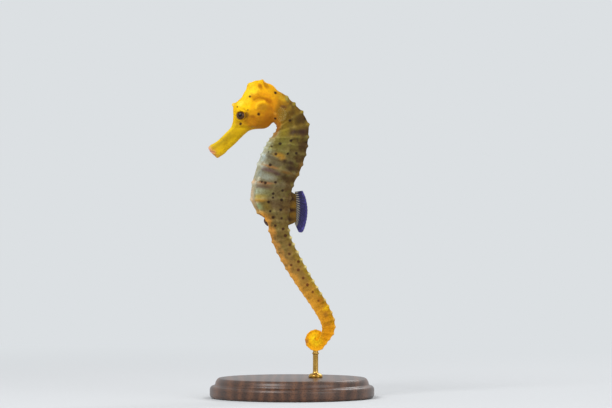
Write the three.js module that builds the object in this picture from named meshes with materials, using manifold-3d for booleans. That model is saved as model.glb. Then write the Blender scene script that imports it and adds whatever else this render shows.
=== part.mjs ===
// Spotted seahorse, a life-size museum model with its head bent to the left and its tail curled.
// Units are millimetres, +Z up. The animal lies in the XZ plane with its snout towards -X.
// Its left side faces -Y. The origin is the centre of the stand's underside.

import * as THREE from "three";
import { mergeVertices } from "three/addons/utils/BufferGeometryUtils.js";
import Module from "manifold-3d";

const wasm = await Module();
wasm.setup();

// ---------- driving dimensions ----------

const NODE_GAP = 0.3; // clear space between touching pieces
const VENT = 11; // number of the trunk ring at the vent, where the tail starts
const TAIL_RINGS = 34; // bony rings from the vent to the tail's tip
const RING_TAPER = 1.92; // above 1 the tail's rings grow shorter towards the tip
const VALLEY = 0.5; // how far the skin sinks between two trunk rings
const TAIL_VALLEY_SHARE = 0.12; // the same on the tail, as a share of its half depth
const FIN_THICKNESS = 0.6;

// The outline of head, neck and trunk. Each station is a cross-section that runs from a point
// on the back to a point on the belly, [x, z], with half of its width. Stations below 1 belong
// to the head and nape, and from 1 on a station's number is that of its trunk ring.
const STATIONS = [
  { at: -15, part: "mouth", back: [-37.6, 112.6], belly: [-36.7, 110.5], half: 0.9 },
  { at: -14, part: "lips", back: [-36.4, 113.9], belly: [-34.0, 108.4], half: 1.8 },
  { at: -13, part: "jaw corner", back: [-34.7, 114.8], belly: [-31.2, 108.8], half: 2.1 },
  { at: -12, part: "front of snout", back: [-32.8, 116.3], belly: [-29.0, 111.3], half: 1.9 },
  { at: -11, part: "middle of snout", back: [-30.1, 118.9], belly: [-25.4, 114.5], half: 2.0 },
  { at: -10, part: "root of snout", back: [-27.5, 121.9], belly: [-21.8, 118.1], half: 2.5 },
  { at: -9, part: "lores", back: [-26.6, 125.0], belly: [-19.1, 120.2], half: 3.2 },
  { at: -8, part: "eye", back: [-26.5, 128.3], belly: [-16.2, 120.9], half: 3.8 },
  { at: -7, part: "nose spine", back: [-26.1, 131.9], belly: [-14.0, 121.0], half: 4.1 },
  { at: -6, part: "forehead", back: [-22.7, 135.1], belly: [-11.8, 121.3], half: 4.4 },
  { at: -5, part: "front of crown", back: [-20.4, 138.8], belly: [-10.2, 122.3], half: 4.5 },
  { at: -4, part: "crown", back: [-15.2, 140.6], belly: [-9.3, 123.3], half: 4.5 },
  { at: -3, part: "back of crown", back: [-9.1, 140.8], belly: [-8.6, 123.8], half: 4.4 },
  { at: -2, part: "nape", back: [-5.6, 138.2], belly: [-8.2, 123.8], half: 4.3 },
  { at: -1, part: "first neck knob", back: [-1.9, 135.7], belly: [-7.6, 123.2], half: 4.3 },
  { at: 0, part: "second neck knob", back: [1.4, 132.7], belly: [-7.1, 122.1], half: 4.3 },
  { at: 1, part: "shoulder ring", back: [5.0, 128.9], belly: [-7.2, 120.8], half: 4.4 },
  { at: 2, part: "neck hump", back: [7.8, 123.1], belly: [-8.4, 119.1], half: 4.6 },
  { at: 3, part: "chest", back: [7.6, 117.3], belly: [-10.1, 116.8], half: 4.9 },
  { at: 5, part: "upper belly", back: [6.3, 109.2], belly: [-12.7, 112.7], half: 5.5 },
  { at: 7, part: "belly", back: [3.1, 100.2], belly: [-15.8, 105.4], half: 5.9 },
  { at: 8, part: "full belly", back: [0.7, 95.3], belly: [-18.2, 97.0], half: 6.0 },
  { at: 9, part: "deepest belly", back: [-0.3, 89.6], belly: [-18.9, 89.2], half: 5.9 },
  { at: 10, part: "pouch", back: [-0.9, 84.2], belly: [-16.0, 83.0], half: 5.3 },
  { at: VENT, part: "vent", back: [-1.3, 79.2], belly: [-12.4, 79.8], half: 4.9 },
];

// The tail's free stretch, as points [x, z] on its middle line, and then its coil.
const TAIL_COURSE = [
  [-5.9, 75.3],
  [-4.6, 71.0],
  [-1.2, 63.8],
  [2.9, 56.6],
  [7.4, 49.4],
  [12.1, 42.2],
  [15.7, 35.4],
  [16.5, 31.0],
];
const COIL_CENTRE = [10.6, 26.0];
const COIL_RADII = [4.75, 3.0, 2.9, 2.8, 1.0, 0.36]; // middle line's distance at each quarter turn
const COIL_STEPS_PER_QUARTER = 3;
// Half of the tail's depth, by the share of its length that lies behind.
const TAIL_DEPTHS = [
  { at: 0, half: 5.5 },
  { at: 0.055, half: 4.8 },
  { at: 0.11, half: 4.4 },
  { at: 0.25, half: 4.25 },
  { at: 0.45, half: 3.65 },
  { at: 0.6, half: 3.3 },
  { at: 0.68, half: 2.95 },
  { at: 0.76, half: 2.15 },
  { at: 0.82, half: 1.9 },
  { at: 0.88, half: 1.7 },
  { at: 0.94, half: 1.3 },
  { at: 0.98, half: 0.7 },
  { at: 1, half: 0.36 },
];
const TAIL_WIDTH_SHARE = 0.95;

// Half cross-sections from the middle of the back to the middle of the belly. Each point gives
// its share of the half width, and its height from -1 at the belly to 1 at the back.
// The second, fourth and sixth points are the superior, lateral and inferior ridges.
const FORMS = {
  snout: {
    across: [0, 0.43, 0.78, 0.98, 0.98, 0.78, 0.43, 0],
    height: [1, 0.9, 0.62, 0.22, -0.22, -0.62, -0.9, -1],
  },
  head: {
    across: [0, 0.46, 0.82, 0.95, 1, 0.88, 0.48, 0],
    height: [0.97, 0.98, 0.68, 0.22, -0.2, -0.6, -0.9, -1],
  },
  trunk: {
    across: [0, 0.52, 0.75, 1, 0.84, 0.66, 0.32, 0],
    height: [0.92, 1, 0.56, 0.12, -0.3, -0.72, -0.88, -1],
  },
  tail: {
    across: [0, 0.92, 0.86, 0.84, 0.86, 0.92, 0.46, 0],
    height: [0.86, 1, 0.5, 0, -0.5, -1, -0.9, -0.86],
  },
};
const RIDGES = [1, 3, 5];
const KEEL = 7; // the last point, a ridge on the trunk alone

// Blunt spines of the head: the section, the point on it, and how far it stands out.
const HEAD_SPINES = [
  { part: "nose spine", at: -7, point: 0, out: 0.5 },
  { part: "orbital ridge", at: -6.5, point: 2, out: 0.7 },
  { part: "orbital ridge", at: -7, point: 2, out: 0.4 },
  { part: "cheek spine", at: -7.5, point: 5, out: 0.5 },
  { part: "shoulder spine", at: 1, point: 3, out: 0.5 },
];

// ---------- the body's cross-sections ----------

const lerp = THREE.MathUtils.lerp;
const clamp = THREE.MathUtils.clamp;

// Smooth value between uneven stations: a cubic through them with averaged slopes.
function between(stations, at, read) {
  const last = stations.length - 1;
  let i = stations.findIndex((s) => s.at > at) - 1;
  if (i < 0) i = at < stations[0].at ? 0 : last - 1;
  const slope = (k) => {
    const a = stations[Math.max(k - 1, 0)];
    const b = stations[Math.min(k + 1, last)];
    return (read(b) - read(a)) / (b.at - a.at);
  };
  const span = stations[i + 1].at - stations[i].at;
  const t = clamp((at - stations[i].at) / span, 0, 1);
  const rest = 1 - t;
  const ends = rest * rest * (1 + 2 * t) * read(stations[i]) + t * t * (3 - 2 * t) * read(stations[i + 1]);
  return ends + t * rest * span * (rest * slope(i) - t * slope(i + 1));
}

const vent = STATIONS[STATIONS.length - 1];
const ventMiddle = [(vent.back[0] + vent.belly[0]) / 2, (vent.back[1] + vent.belly[1]) / 2];
const ventRise = new THREE.Vector3(vent.back[0] - vent.belly[0], 0, vent.back[1] - vent.belly[1]);
ventRise.normalize();
const coilStations = COIL_RADII.map((radius, at) => ({ at, radius }));
const coilPoints = [];
for (let step = 0; step <= (COIL_RADII.length - 1) * COIL_STEPS_PER_QUARTER; step++) {
  const quarter = step / COIL_STEPS_PER_QUARTER;
  const radius = between(coilStations, quarter, (s) => s.radius);
  const angle = (quarter * Math.PI) / 2;
  coilPoints.push([
    COIL_CENTRE[0] + radius * Math.cos(angle),
    COIL_CENTRE[1] - radius * Math.sin(angle),
  ]);
}
const tailCurve = new THREE.CatmullRomCurve3(
  [ventMiddle, ...TAIL_COURSE, ...coilPoints].map(([x, z]) => new THREE.Vector3(x, 0, z)),
  false,
  "centripetal",
);
tailCurve.arcLengthDivisions = 600;

function blendForms(first, second, share) {
  return first.across.map((across, k) => ({
    across: lerp(across, second.across[k], share),
    height: lerp(first.height[k], second.height[k], share),
  }));
}

// The form of the cross-section at ring number `at`.
function formAt(at) {
  if (at < 0) return blendForms(FORMS.snout, FORMS.head, clamp((at + 11) / 3, 0, 1));
  if (at < 4) return blendForms(FORMS.head, FORMS.trunk, at / 4);
  return blendForms(FORMS.trunk, FORMS.tail, clamp((at - VENT + 1.5) / 3, 0, 1));
}

// The middle, the half depth as a vector towards the back, and the half width at ring number `at`.
function frameAt(at) {
  if (at <= VENT) {
    const read = (key, axis) => between(STATIONS, at, (s) => s[key][axis]);
    const back = new THREE.Vector3(read("back", 0), 0, read("back", 1));
    const belly = new THREE.Vector3(read("belly", 0), 0, read("belly", 1));
    const half = between(STATIONS, at, (s) => s.half);
    return { middle: back.clone().lerp(belly, 0.5), rise: back.sub(belly).multiplyScalar(0.5), half };
  }
  const share = clamp(1 - Math.pow(1 - (at - VENT) / TAIL_RINGS, RING_TAPER), 0, 1);
  const along = tailCurve.getTangentAt(share);
  const depth = between(TAIL_DEPTHS, share, (s) => s.half);
  const settle = clamp((at - VENT) / 3, 0, 1); // the tail's direction takes over from the trunk's
  const rise = ventRise.clone().lerp(new THREE.Vector3(-along.z, 0, along.x), settle);
  rise.normalize().multiplyScalar(depth);
  return { middle: tailCurve.getPointAt(share), rise, half: depth * lerp(0.9, TAIL_WIDTH_SHARE, settle) };
}

// One closed loop of points round the body, from the middle of the back down its left side (-Y).
// Halfway between two rings the skin sinks, most of all on the ridges.
function loopAt(at, grow = 0) {
  const { middle, rise, half } = frameAt(at);
  const depth = rise.length();
  const betweenRings = Math.abs(at - Math.round(at));
  const valley = at < -2 ? 0 : at <= VENT ? VALLEY : depth * TAIL_VALLEY_SHARE;
  const halfLoop = formAt(at).map(({ across, height }, k) => {
    const onRidge = RIDGES.includes(k) || (k === KEEL && at < VENT);
    const spine = HEAD_SPINES.find((s) => s.at === at && s.point === k);
    const sunk = valley * (onRidge ? 2 * betweenRings : 0.3 + betweenRings);
    const out = grow - sunk + (spine ? spine.out : 0);
    return { y: across * (half + out), v: height * (1 + out / depth) };
  });
  const left = halfLoop.map(({ y, v }) => middle.clone().addScaledVector(rise, v).setY(-y));
  const right = halfLoop.slice(1, -1).reverse();
  return left.concat(right.map(({ y, v }) => middle.clone().addScaledVector(rise, v).setY(y)));
}

// ---------- solids ----------

function geometryOf(points, faces) {
  const made = new THREE.BufferGeometry().setFromPoints(points);
  made.setIndex(faces.flat());
  return made;
}

// A closed surface through loops of equal length, with a fan over each end.
function loft(loops) {
  const count = loops[0].length;
  const faces = [];
  for (let i = 0; i + 1 < loops.length; i++) {
    for (let j = 0; j < count; j++) {
      const next = (j + 1) % count;
      const [a, b, c, d] = [i * count + j, i * count + next, (i + 1) * count + j, (i + 1) * count + next];
      faces.push([a, b, c], [b, d, c]);
    }
  }
  const points = loops.flat();
  const centreOf = (loop) => loop.reduce((sum, p) => sum.add(p), new THREE.Vector3()).divideScalar(count);
  const start = points.push(centreOf(loops[0])) - 1;
  const end = points.push(centreOf(loops[loops.length - 1])) - 1;
  const lastRow = (loops.length - 1) * count;
  for (let j = 0; j < count; j++) {
    const next = (j + 1) % count;
    faces.push([start, next, j], [end, lastRow + j, lastRow + next]);
  }
  return geometryOf(points, faces);
}

// The body from one ring number to another. Each end keeps half of the gap to its neighbour.
function bodyLength(from, to, grow = 0, startGap = NODE_GAP / 2, endGap = NODE_GAP / 2) {
  const loops = [];
  for (let at = from; at <= to + 1e-6; at += 0.5) loops.push(loopAt(at, grow));
  const shift = (loop, at, distance) => {
    const rise = frameAt(at).rise.normalize();
    const onwards = new THREE.Vector3(rise.z, 0, -rise.x);
    return loop.map((p) => p.clone().addScaledVector(onwards, distance));
  };
  loops[0] = shift(loops[0], from, startGap);
  loops[loops.length - 1] = shift(loops[loops.length - 1], to, -endGap);
  return loft(loops);
}

function solidOf(geometry) {
  const bare = geometry.clone();
  for (const name of ["normal", "uv"]) bare.deleteAttribute(name);
  const merged = mergeVertices(bare, 1e-4);
  const vertProperties = merged.attributes.position.array;
  const triVerts = new Uint32Array(merged.index.array);
  return new wasm.Manifold(new wasm.Mesh({ numProp: 3, vertProperties, triVerts }));
}

function geometryFrom(solid) {
  const { numProp, numVert, vertProperties, triVerts } = solid.getMesh();
  const positions = new Float32Array(numVert * 3);
  for (let i = 0; i < numVert; i++) {
    positions.set(vertProperties.subarray(i * numProp, i * numProp + 3), 3 * i);
  }
  const made = new THREE.BufferGeometry();
  made.setAttribute("position", new THREE.BufferAttribute(positions, 3));
  return made.setIndex(new THREE.BufferAttribute(triVerts, 1));
}

// The largest body that is left of a piece after room is made for others.
function trimmed(geometry, ...others) {
  const rest = others.reduce((left, other) => left.subtract(solidOf(other)), solidOf(geometry));
  const bodies = rest.decompose().sort((a, b) => b.volume() - a.volume());
  return geometryFrom(bodies[0]);
}

// ---------- materials ----------

const matte = (color, roughness = 0.6) => new THREE.MeshStandardMaterial({ color, roughness, metalness: 0 });
const SKIN_YELLOW = matte(0xd9a514);
const SKIN_CHEEK = matte(0xb9761c);
const SKIN_OLIVE = matte(0xa08a45);
const SKIN_BELLY = matte(0xb3a486);
const SKIN_TAIL = matte(0xc08c2a);
const FIN_VIOLET = matte(0x5a4f96, 0.35);
const EYE_BROWN = matte(0x4a2a20, 0.15);
const WALNUT = matte(0x4a2f1d, 0.45);
const BRASS = new THREE.MeshStandardMaterial({ color: 0xb8963e, roughness: 0.3, metalness: 1 });

const seahorse = new THREE.Group();

function addNode(name, geometry, material) {
  const mesh = new THREE.Mesh(geometry, material);
  mesh.name = name;
  seahorse.add(mesh);
}

// ---------- snout, head, neck, trunk and tail ----------

const LENGTHS = [
  { name: "snout", from: -15, to: -10, material: SKIN_YELLOW },
  { name: "head", from: -10, to: -2, material: SKIN_YELLOW },
  { name: "neck", from: -2, to: 2, material: SKIN_OLIVE },
  { name: "trunk_upper", from: 2, to: 5, material: SKIN_OLIVE },
  { name: "trunk_middle", from: 5, to: 8, material: SKIN_BELLY },
  { name: "trunk_lower", from: 8, to: VENT, material: SKIN_OLIVE },
  { name: "tail_base", from: VENT, to: 15, material: SKIN_OLIVE },
  { name: "tail_upper", from: 15, to: 19, material: SKIN_TAIL },
  { name: "tail_middle", from: 19, to: 23, material: SKIN_TAIL },
  { name: "tail_lower", from: 23, to: 27, material: SKIN_TAIL },
  { name: "tail_coil", from: 27, to: VENT + TAIL_RINGS - 0.5, material: SKIN_TAIL },
];
for (const { name, from, to, material } of LENGTHS) addNode(name, bodyLength(from, to), material);

// The room that stretches of the body take up, with a gap all round, for what stands on them.
const roomOf = (from, to) => bodyLength(from, to, NODE_GAP + 0.05, 0, 0);
const headRoom = roomOf(-10, -2);
const neckRoom = roomOf(-2, 2);
const trunkRoom = roomOf(8, 14);
const coilRoom = roomOf(29, 34);

// ---------- coronet: a low crown of five blunt points ----------

const CORONET = { x: -16.1, radius: 3.9, widthShare: 0.85, points: 5, lean: 0.17 };
const CORONET_ROWS = [
  { radius: 1.0, z: 138.6, dip: 0 },
  { radius: 0.9, z: 141.1, dip: 0.25 },
  { radius: 0.95, z: 142.7, dip: 0.7 },
  { radius: 0.5, z: 142.1, dip: 0.3 },
];

function coronet() {
  const sides = CORONET.points * 2;
  const rows = CORONET_ROWS.map(({ radius, z, dip }) => {
    const loop = [];
    for (let k = 0; k < sides; k++) {
      const angle = (k * Math.PI) / CORONET.points;
      const fall = k % 2 ? dip : 0; // every second side is a notch between two points
      const reach = CORONET.radius * radius * (1 - 0.2 * fall);
      const x = reach * Math.cos(angle);
      const y = reach * CORONET.widthShare * Math.sin(angle);
      loop.push(new THREE.Vector3(CORONET.x + x, y, z - fall + (dip > 0 ? CORONET.lean * x : 0)));
    }
    return loop;
  });
  return trimmed(loft(rows), headRoom);
}
addNode("coronet", coronet(), SKIN_YELLOW);

// ---------- eyes, gill covers and pectoral fins, one of each on both sides ----------

const EYE = { x: -22.5, z: 127.0, outwards: 2.75, radius: 2.35 };
const GILL_COVER = { x: -13.4, z: 129.0, outwards: 3.5, length: 4.7, bulge: 1.9, height: 4.9 };
// A fin that fans out: its root's height, its rays, their length, and how far they spread.
const PECTORAL = { root: 2.4, rays: 8, length: 4.6, spread: 0.62 };
const PECTORAL_PLACE = { x: -6.6, z: 127.4, outwards: 3.7, slant: 0.45 };
const ANAL = { root: 1.5, rays: 4, length: 2.6, spread: 0.5 };
const ANAL_PLACE = { x: -11.3, z: 79.4, droop: 0.5 };
const RAY_NOTCH = 0.95; // the membrane's reach between two rays, as a share of the rays' own

function ball(radii, centre, around, along) {
  const made = new THREE.SphereGeometry(1, around, along);
  made.scale(...radii);
  return made.translate(...centre);
}

// A plate of even thickness in the XZ plane, from its outline in x and z.
function plate(outline) {
  const made = new THREE.ExtrudeGeometry(outline, { depth: FIN_THICKNESS, bevelEnabled: false });
  made.translate(0, 0, -FIN_THICKNESS / 2);
  return made.rotateX(Math.PI / 2);
}

// A fan of rays as a thin plate, its root on the Z axis and its rays towards +X.
function fan({ root, rays, length, spread }) {
  const outline = new THREE.Shape();
  outline.moveTo(0, root / 2);
  for (let k = 0; k <= 2 * rays; k++) {
    const share = 1 - k / rays; // from 1 at the top ray to -1 at the bottom one
    const reach = length * (1 - 0.25 * share * share) * (k % 2 ? RAY_NOTCH : 1);
    const angle = share * spread;
    outline.lineTo(reach * Math.cos(angle), (share * root) / 2 + reach * Math.sin(angle));
  }
  outline.lineTo(0, -root / 2);
  return plate(outline);
}

for (const [side, sign] of [["left", -1], ["right", 1]]) {
  const eye = ball([EYE.radius, EYE.radius, EYE.radius], [EYE.x, sign * EYE.outwards, EYE.z], 16, 10);
  addNode("eye_" + side, trimmed(eye, headRoom), EYE_BROWN);

  const coverRadii = [GILL_COVER.length, GILL_COVER.bulge, GILL_COVER.height];
  const coverCentre = [GILL_COVER.x, sign * GILL_COVER.outwards, GILL_COVER.z];
  addNode("gill_cover_" + side, trimmed(ball(coverRadii, coverCentre, 18, 10), headRoom), SKIN_CHEEK);

  const fin = fan(PECTORAL);
  fin.rotateZ(sign * PECTORAL_PLACE.slant);
  fin.translate(PECTORAL_PLACE.x, sign * PECTORAL_PLACE.outwards, PECTORAL_PLACE.z);
  addNode("pectoral_fin_" + side, trimmed(fin, neckRoom, headRoom), FIN_VIOLET);
}

// ---------- dorsal and anal fins ----------

// The dorsal fin stands on a fleshy strip of the back. Its upper rays lean up, the lower ones down.
const DORSAL = { rootX: 1.9, rootTop: 92.6, rootBottom: 78.3, rays: 17, reach: 5.6 };
const DORSAL_LEAN = { top: 0.12, bottom: -1.05 };
const DORSAL_BASE = { halfWidth: 1.2, inner: -3, top: 93.2, bottom: 77.6, lengths: 8 };
const DORSAL_BEVEL = { edge: 0.5, end: 0.9 };

function dorsalFin() {
  const outline = new THREE.Shape();
  outline.moveTo(DORSAL.rootX, DORSAL.rootTop);
  for (let k = 0; k <= 2 * DORSAL.rays; k++) {
    const share = k / (2 * DORSAL.rays);
    const lean = lerp(DORSAL_LEAN.top, DORSAL_LEAN.bottom, share);
    const fullness = Math.pow(Math.sin(Math.PI * (0.16 + 0.66 * share)), 0.6);
    const reach = DORSAL.reach * fullness * (k % 2 ? RAY_NOTCH : 1);
    const z = lerp(DORSAL.rootTop, DORSAL.rootBottom, share);
    outline.lineTo(DORSAL.rootX + reach * Math.cos(lean), z + reach * Math.sin(lean));
  }
  outline.lineTo(DORSAL.rootX, DORSAL.rootBottom);
  return plate(outline);
}

function dorsalBase() {
  const { halfWidth, inner, top, bottom, lengths } = DORSAL_BASE;
  const rows = [];
  for (let k = lengths; k >= 0; k--) {
    const z = lerp(top, bottom, k / lengths);
    const edge = DORSAL.rootX - NODE_GAP - (k % lengths ? 0 : DORSAL_BEVEL.end);
    const section = [[inner, 1.5], [edge - DORSAL_BEVEL.edge, 1], [edge, 0.5]];
    const left = section.map(([x, share]) => new THREE.Vector3(x, -share * halfWidth, z));
    const right = section.reverse().map(([x, share]) => new THREE.Vector3(x, share * halfWidth, z));
    rows.push(left.concat(right));
  }
  return trimmed(loft(rows), trunkRoom);
}

addNode("dorsal_fin_base", dorsalBase(), SKIN_YELLOW);
addNode("dorsal_fin", dorsalFin(), FIN_VIOLET);

const analFin = fan(ANAL);
analFin.rotateY(Math.PI - ANAL_PLACE.droop);
analFin.translate(ANAL_PLACE.x, 0, ANAL_PLACE.z);
addNode("anal_fin", trimmed(analFin, trunkRoom), FIN_VIOLET);

// ---------- stand: a round wooden base and one brass rod ----------

const BASE = { radius: 37, height: 9, edge: 1.6 };
const ROD = { x: 10.6, radius: 1.2, top: 22, collarRadius: 3.2, collarHeight: 1.8, collarBevel: 0.8 };

// A solid turned about the Z axis, from its profile of radii and heights.
function turned(profile, sides) {
  const made = new THREE.LatheGeometry(profile.map(([r, z]) => new THREE.Vector2(r, z)), sides);
  return made.rotateX(Math.PI / 2);
}

const baseProfile = [
  [0, 0],
  [BASE.radius - 0.5 * BASE.edge, 0],
  [BASE.radius, 0.5 * BASE.edge],
  [BASE.radius, BASE.height - 3 * BASE.edge],
  [BASE.radius - 0.4 * BASE.edge, BASE.height - 2.2 * BASE.edge],
  [BASE.radius - 1.4 * BASE.edge, BASE.height - 2 * BASE.edge],
  [BASE.radius - 1.7 * BASE.edge, BASE.height - 0.7 * BASE.edge],
  [BASE.radius - 2.4 * BASE.edge, BASE.height],
  [0, BASE.height],
];
addNode("stand_base", turned(baseProfile, 64), WALNUT);

const rodFoot = BASE.height + NODE_GAP;
const rodProfile = [
  [0, rodFoot],
  [ROD.collarRadius, rodFoot],
  [ROD.collarRadius, rodFoot + ROD.collarHeight - ROD.collarBevel],
  [ROD.collarRadius - ROD.collarBevel, rodFoot + ROD.collarHeight],
  [ROD.radius, rodFoot + ROD.collarHeight],
  [ROD.radius, ROD.top],
  [0, ROD.top],
];
const rod = turned(rodProfile, 24);
rod.translate(ROD.x, 0, 0);
addNode("stand_rod", trimmed(rod, coilRoom), BRASS);

export default seahorse;
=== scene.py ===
import math
from functools import partial, reduce

import bmesh
import bpy
import numpy as np
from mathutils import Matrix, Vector, noise
from numpy.linalg import norm


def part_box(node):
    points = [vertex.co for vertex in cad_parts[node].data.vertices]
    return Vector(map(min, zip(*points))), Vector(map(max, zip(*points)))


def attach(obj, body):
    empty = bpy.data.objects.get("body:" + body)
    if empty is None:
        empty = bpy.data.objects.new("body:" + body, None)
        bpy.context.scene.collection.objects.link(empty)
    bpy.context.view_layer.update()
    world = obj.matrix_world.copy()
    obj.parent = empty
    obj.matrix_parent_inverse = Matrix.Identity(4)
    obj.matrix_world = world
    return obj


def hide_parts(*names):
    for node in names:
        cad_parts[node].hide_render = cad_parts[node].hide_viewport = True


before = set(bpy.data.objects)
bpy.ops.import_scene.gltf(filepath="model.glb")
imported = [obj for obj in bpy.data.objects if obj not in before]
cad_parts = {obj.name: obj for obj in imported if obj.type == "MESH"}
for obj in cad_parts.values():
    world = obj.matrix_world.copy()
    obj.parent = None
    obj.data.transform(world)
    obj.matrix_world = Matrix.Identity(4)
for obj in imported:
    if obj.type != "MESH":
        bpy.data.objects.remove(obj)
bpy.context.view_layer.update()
mm = 0.001
dice = np.random.default_rng(11)
scene = bpy.context.scene


def linear(hexColour):
    # sRGB hex to the linear values that Blender works in
    parts = [int(hexColour[i:i + 2], 16) / 255 for i in (1, 3, 5)]
    return (*[p / 12.92 if p <= 0.04045 else ((p + 0.055) / 1.055) ** 2.4 for p in parts], 1)


def addNode(tree, kind, inputs=(), stops=None, output=0, **settings):
    # inputs go by name or in order: a socket is linked, a hex colour made linear, a number set as it is
    node = tree.nodes.new("ShaderNode" + kind)
    for name, value in settings.items():
        setattr(node, name, value)
    for name, value in inputs.items() if isinstance(inputs, dict) else enumerate(inputs):
        if isinstance(value, bpy.types.NodeSocket):
            tree.links.new(value, node.inputs[name])
        else:
            node.inputs[name].default_value = linear(value) if isinstance(value, str) else value
    if stops:
        ramp = node.color_ramp.elements
        while len(ramp) < len(stops):
            ramp.new(1)
        for element, (place, colour) in zip(ramp, sorted(stops.items())):
            element.position = place
            element.color = linear(colour) if isinstance(colour, str) else (colour, colour, colour, 1)
    return node.outputs[output] if node.outputs else node


def emptyTree(owner):
    # clears the nodes of a material or world, and gives addNode for them
    owner.use_nodes = True
    owner.node_tree.nodes.clear()
    return partial(addNode, owner.node_tree)


def newMaterial(name):
    material = bpy.data.materials.new(name)
    return material, emptyTree(material)


def smoothStep(low, high, value):
    share = np.clip((value - low) / (high - low), 0, 1)
    return share * share * (3 - 2 * share)


def hump(distance, width):
    return np.exp(-((distance / width) ** 2))


def through(knots, values, at):
    # a smooth curve through values at uneven knots, with averaged slopes
    knots, values, at = np.asarray(knots, float), np.asarray(values, float), np.atleast_1d(at)
    slopes = np.empty_like(values)
    shape = (-1,) + (1,) * (values.ndim - 1)
    slopes[1:-1] = (values[2:] - values[:-2]) / (knots[2:] - knots[:-2]).reshape(shape)
    slopes[0] = (values[1] - values[0]) / (knots[1] - knots[0])
    slopes[-1] = (values[-1] - values[-2]) / (knots[-1] - knots[-2])
    i = np.clip(np.searchsorted(knots, at, side="right") - 1, 0, len(knots) - 2)
    span = (knots[i + 1] - knots[i]).reshape(shape)
    t = ((at - knots[i]) / (knots[i + 1] - knots[i])).reshape(shape)
    rest = 1 - t
    ends = rest * rest * (1 + 2 * t) * values[i] + t * t * (3 - 2 * t) * values[i + 1]
    return ends + t * rest * span * (rest * slopes[i] - t * slopes[i + 1])


def inMm(box):
    # the low and high corner of a box
    return [np.array(corner) / mm for corner in box]


def meshOf(bm, name):
    mesh = bpy.data.meshes.new(name)
    bm.to_mesh(mesh)
    bm.free()
    return mesh


def gridMesh(name, points, cells):
    # a grid laid out on rows and columns of points in mm, merged at the seam and poles, and a value of
    # each kind of cell at every point
    rows, columns = points.shape[:2]
    bm = bmesh.new()
    bmesh.ops.create_grid(bm, x_segments=columns - 1, y_segments=rows - 1, size=1)
    layer = bm.verts.layers.int.new("cell")
    for vert in bm.verts:
        column = round((vert.co.x + 1) / 2 * (columns - 1))
        row = round((vert.co.y + 1) / 2 * (rows - 1))
        vert[layer] = row * columns + column
        vert.co = points[row, column] * mm
    bmesh.ops.remove_doubles(bm, verts=bm.verts, dist=1e-7)
    bmesh.ops.dissolve_degenerate(bm, edges=bm.edges, dist=1e-8)
    bmesh.ops.recalc_face_normals(bm, faces=bm.faces)
    mesh = meshOf(bm, name)
    picked = np.empty(len(mesh.vertices), int)
    mesh.attributes["cell"].data.foreach_get("value", picked)
    for key, values in cells.items():
        flat = np.broadcast_to(values, (rows, columns)).reshape(-1)[picked]
        mesh.attributes.new(key, "FLOAT", "POINT").data.foreach_set("value", flat.astype(np.float32))
    mesh.attributes.remove(mesh.attributes["cell"])
    return mesh


def addObject(name, data):
    thing = bpy.data.objects.new(name, data)
    scene.collection.objects.link(thing)
    return thing


def addPiece(name, mesh, material, slotName, *nodes):
    piece = addObject(name, mesh)
    mesh.materials.append(material)
    mesh.shade_smooth()
    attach(piece, "root")
    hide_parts(*nodes)


# Camera, floor and light.
view = {"aim": (6.3, 87.2), "width": 275.4, "lens": 200.0, "sensor": 36.0, "farthest": 20}

camera = addObject("camera", bpy.data.cameras.new("camera"))
camera.data.lens = view["lens"]
camera.data.sensor_width = view["sensor"]
camera.data.clip_end = view["farthest"]
viewDistance = view["width"] * view["lens"] / view["sensor"] * mm
camera.location = (view["aim"][0] * mm, -viewDistance, view["aim"][1] * mm)
camera.rotation_euler = (math.pi / 2, 0, 0)
scene.camera = camera
scene.view_settings.view_transform = "Standard"

# A wide pale floor that fades into an even pale room, so that every side has the same plain background.
stageForm = {
    "radius": 4.0, "segments": 96, "fadeFrom": 0.12, "fadeTo": 0.6,   # metres
    "paper": "#d9dcdf", "room": "#dce0e3", "softLight": 0.45, "lampAim": (0, 0, 0.09),
}
lamps = {
    "keyLamp": {"at": (-0.55, -0.75, 0.85), "size": 0.55, "watts": 9.0},
    "fillLamp": {"at": (0.75, -0.7, 0.4), "size": 0.7, "watts": 3.2},
    "rimLamp": {"at": (0.45, 0.6, 0.7), "size": 0.4, "watts": 3.0},
}


def seenDirectly(add):
    # 1 where the camera sees a surface, also mirrored or through glass
    ray = add("LightPath").node.outputs
    seen = add("Math", (ray["Is Camera Ray"], ray["Is Glossy Ray"]), operation="ADD")
    return add("Math", (seen, ray["Is Transmission Ray"]), operation="ADD", use_clamp=True)


bm = bmesh.new()
bmesh.ops.create_circle(bm, cap_ends=True, segments=stageForm["segments"], radius=stageForm["radius"])
bmesh.ops.recalc_face_normals(bm, faces=bm.faces)
if next(iter(bm.faces)).normal.z < 0:
    bmesh.ops.reverse_faces(bm, faces=bm.faces)
floor = addObject("floor", meshOf(bm, "floor"))
paper, add = newMaterial("matte background paper")   # hardly any gloss, so it shows soft shadows
away = add("VectorMath", (add("TexCoord", output="Object"),), output="Value", operation="LENGTH")
fade = add("MapRange", {"Value": away, "From Min": stageForm["fadeFrom"], "From Max": stageForm["fadeTo"]},
           interpolation_type="SMOOTHSTEP")
fade = add("Math", (fade, seenDirectly(add)), operation="MULTIPLY")
paperShader = add("BsdfPrincipled", {
    "Base Color": stageForm["paper"], "Roughness": 0.9, "Specular IOR Level": 0.1})
add("OutputMaterial", (add("MixShader", (fade, paperShader, add("Emission", (stageForm["room"], 1.0)))),))
floor.data.materials.append(paper)

for lampName, lamp in lamps.items():
    light = addObject(lampName, bpy.data.lights.new(lampName, "AREA"))
    light.visible_camera = False
    light.data.energy = lamp["watts"]
    light.data.size = lamp["size"]
    light.location = lamp["at"]
    aim = Vector(stageForm["lampAim"]) - light.location
    light.rotation_euler = aim.to_track_quat("-Z", "Y").to_euler()

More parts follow.
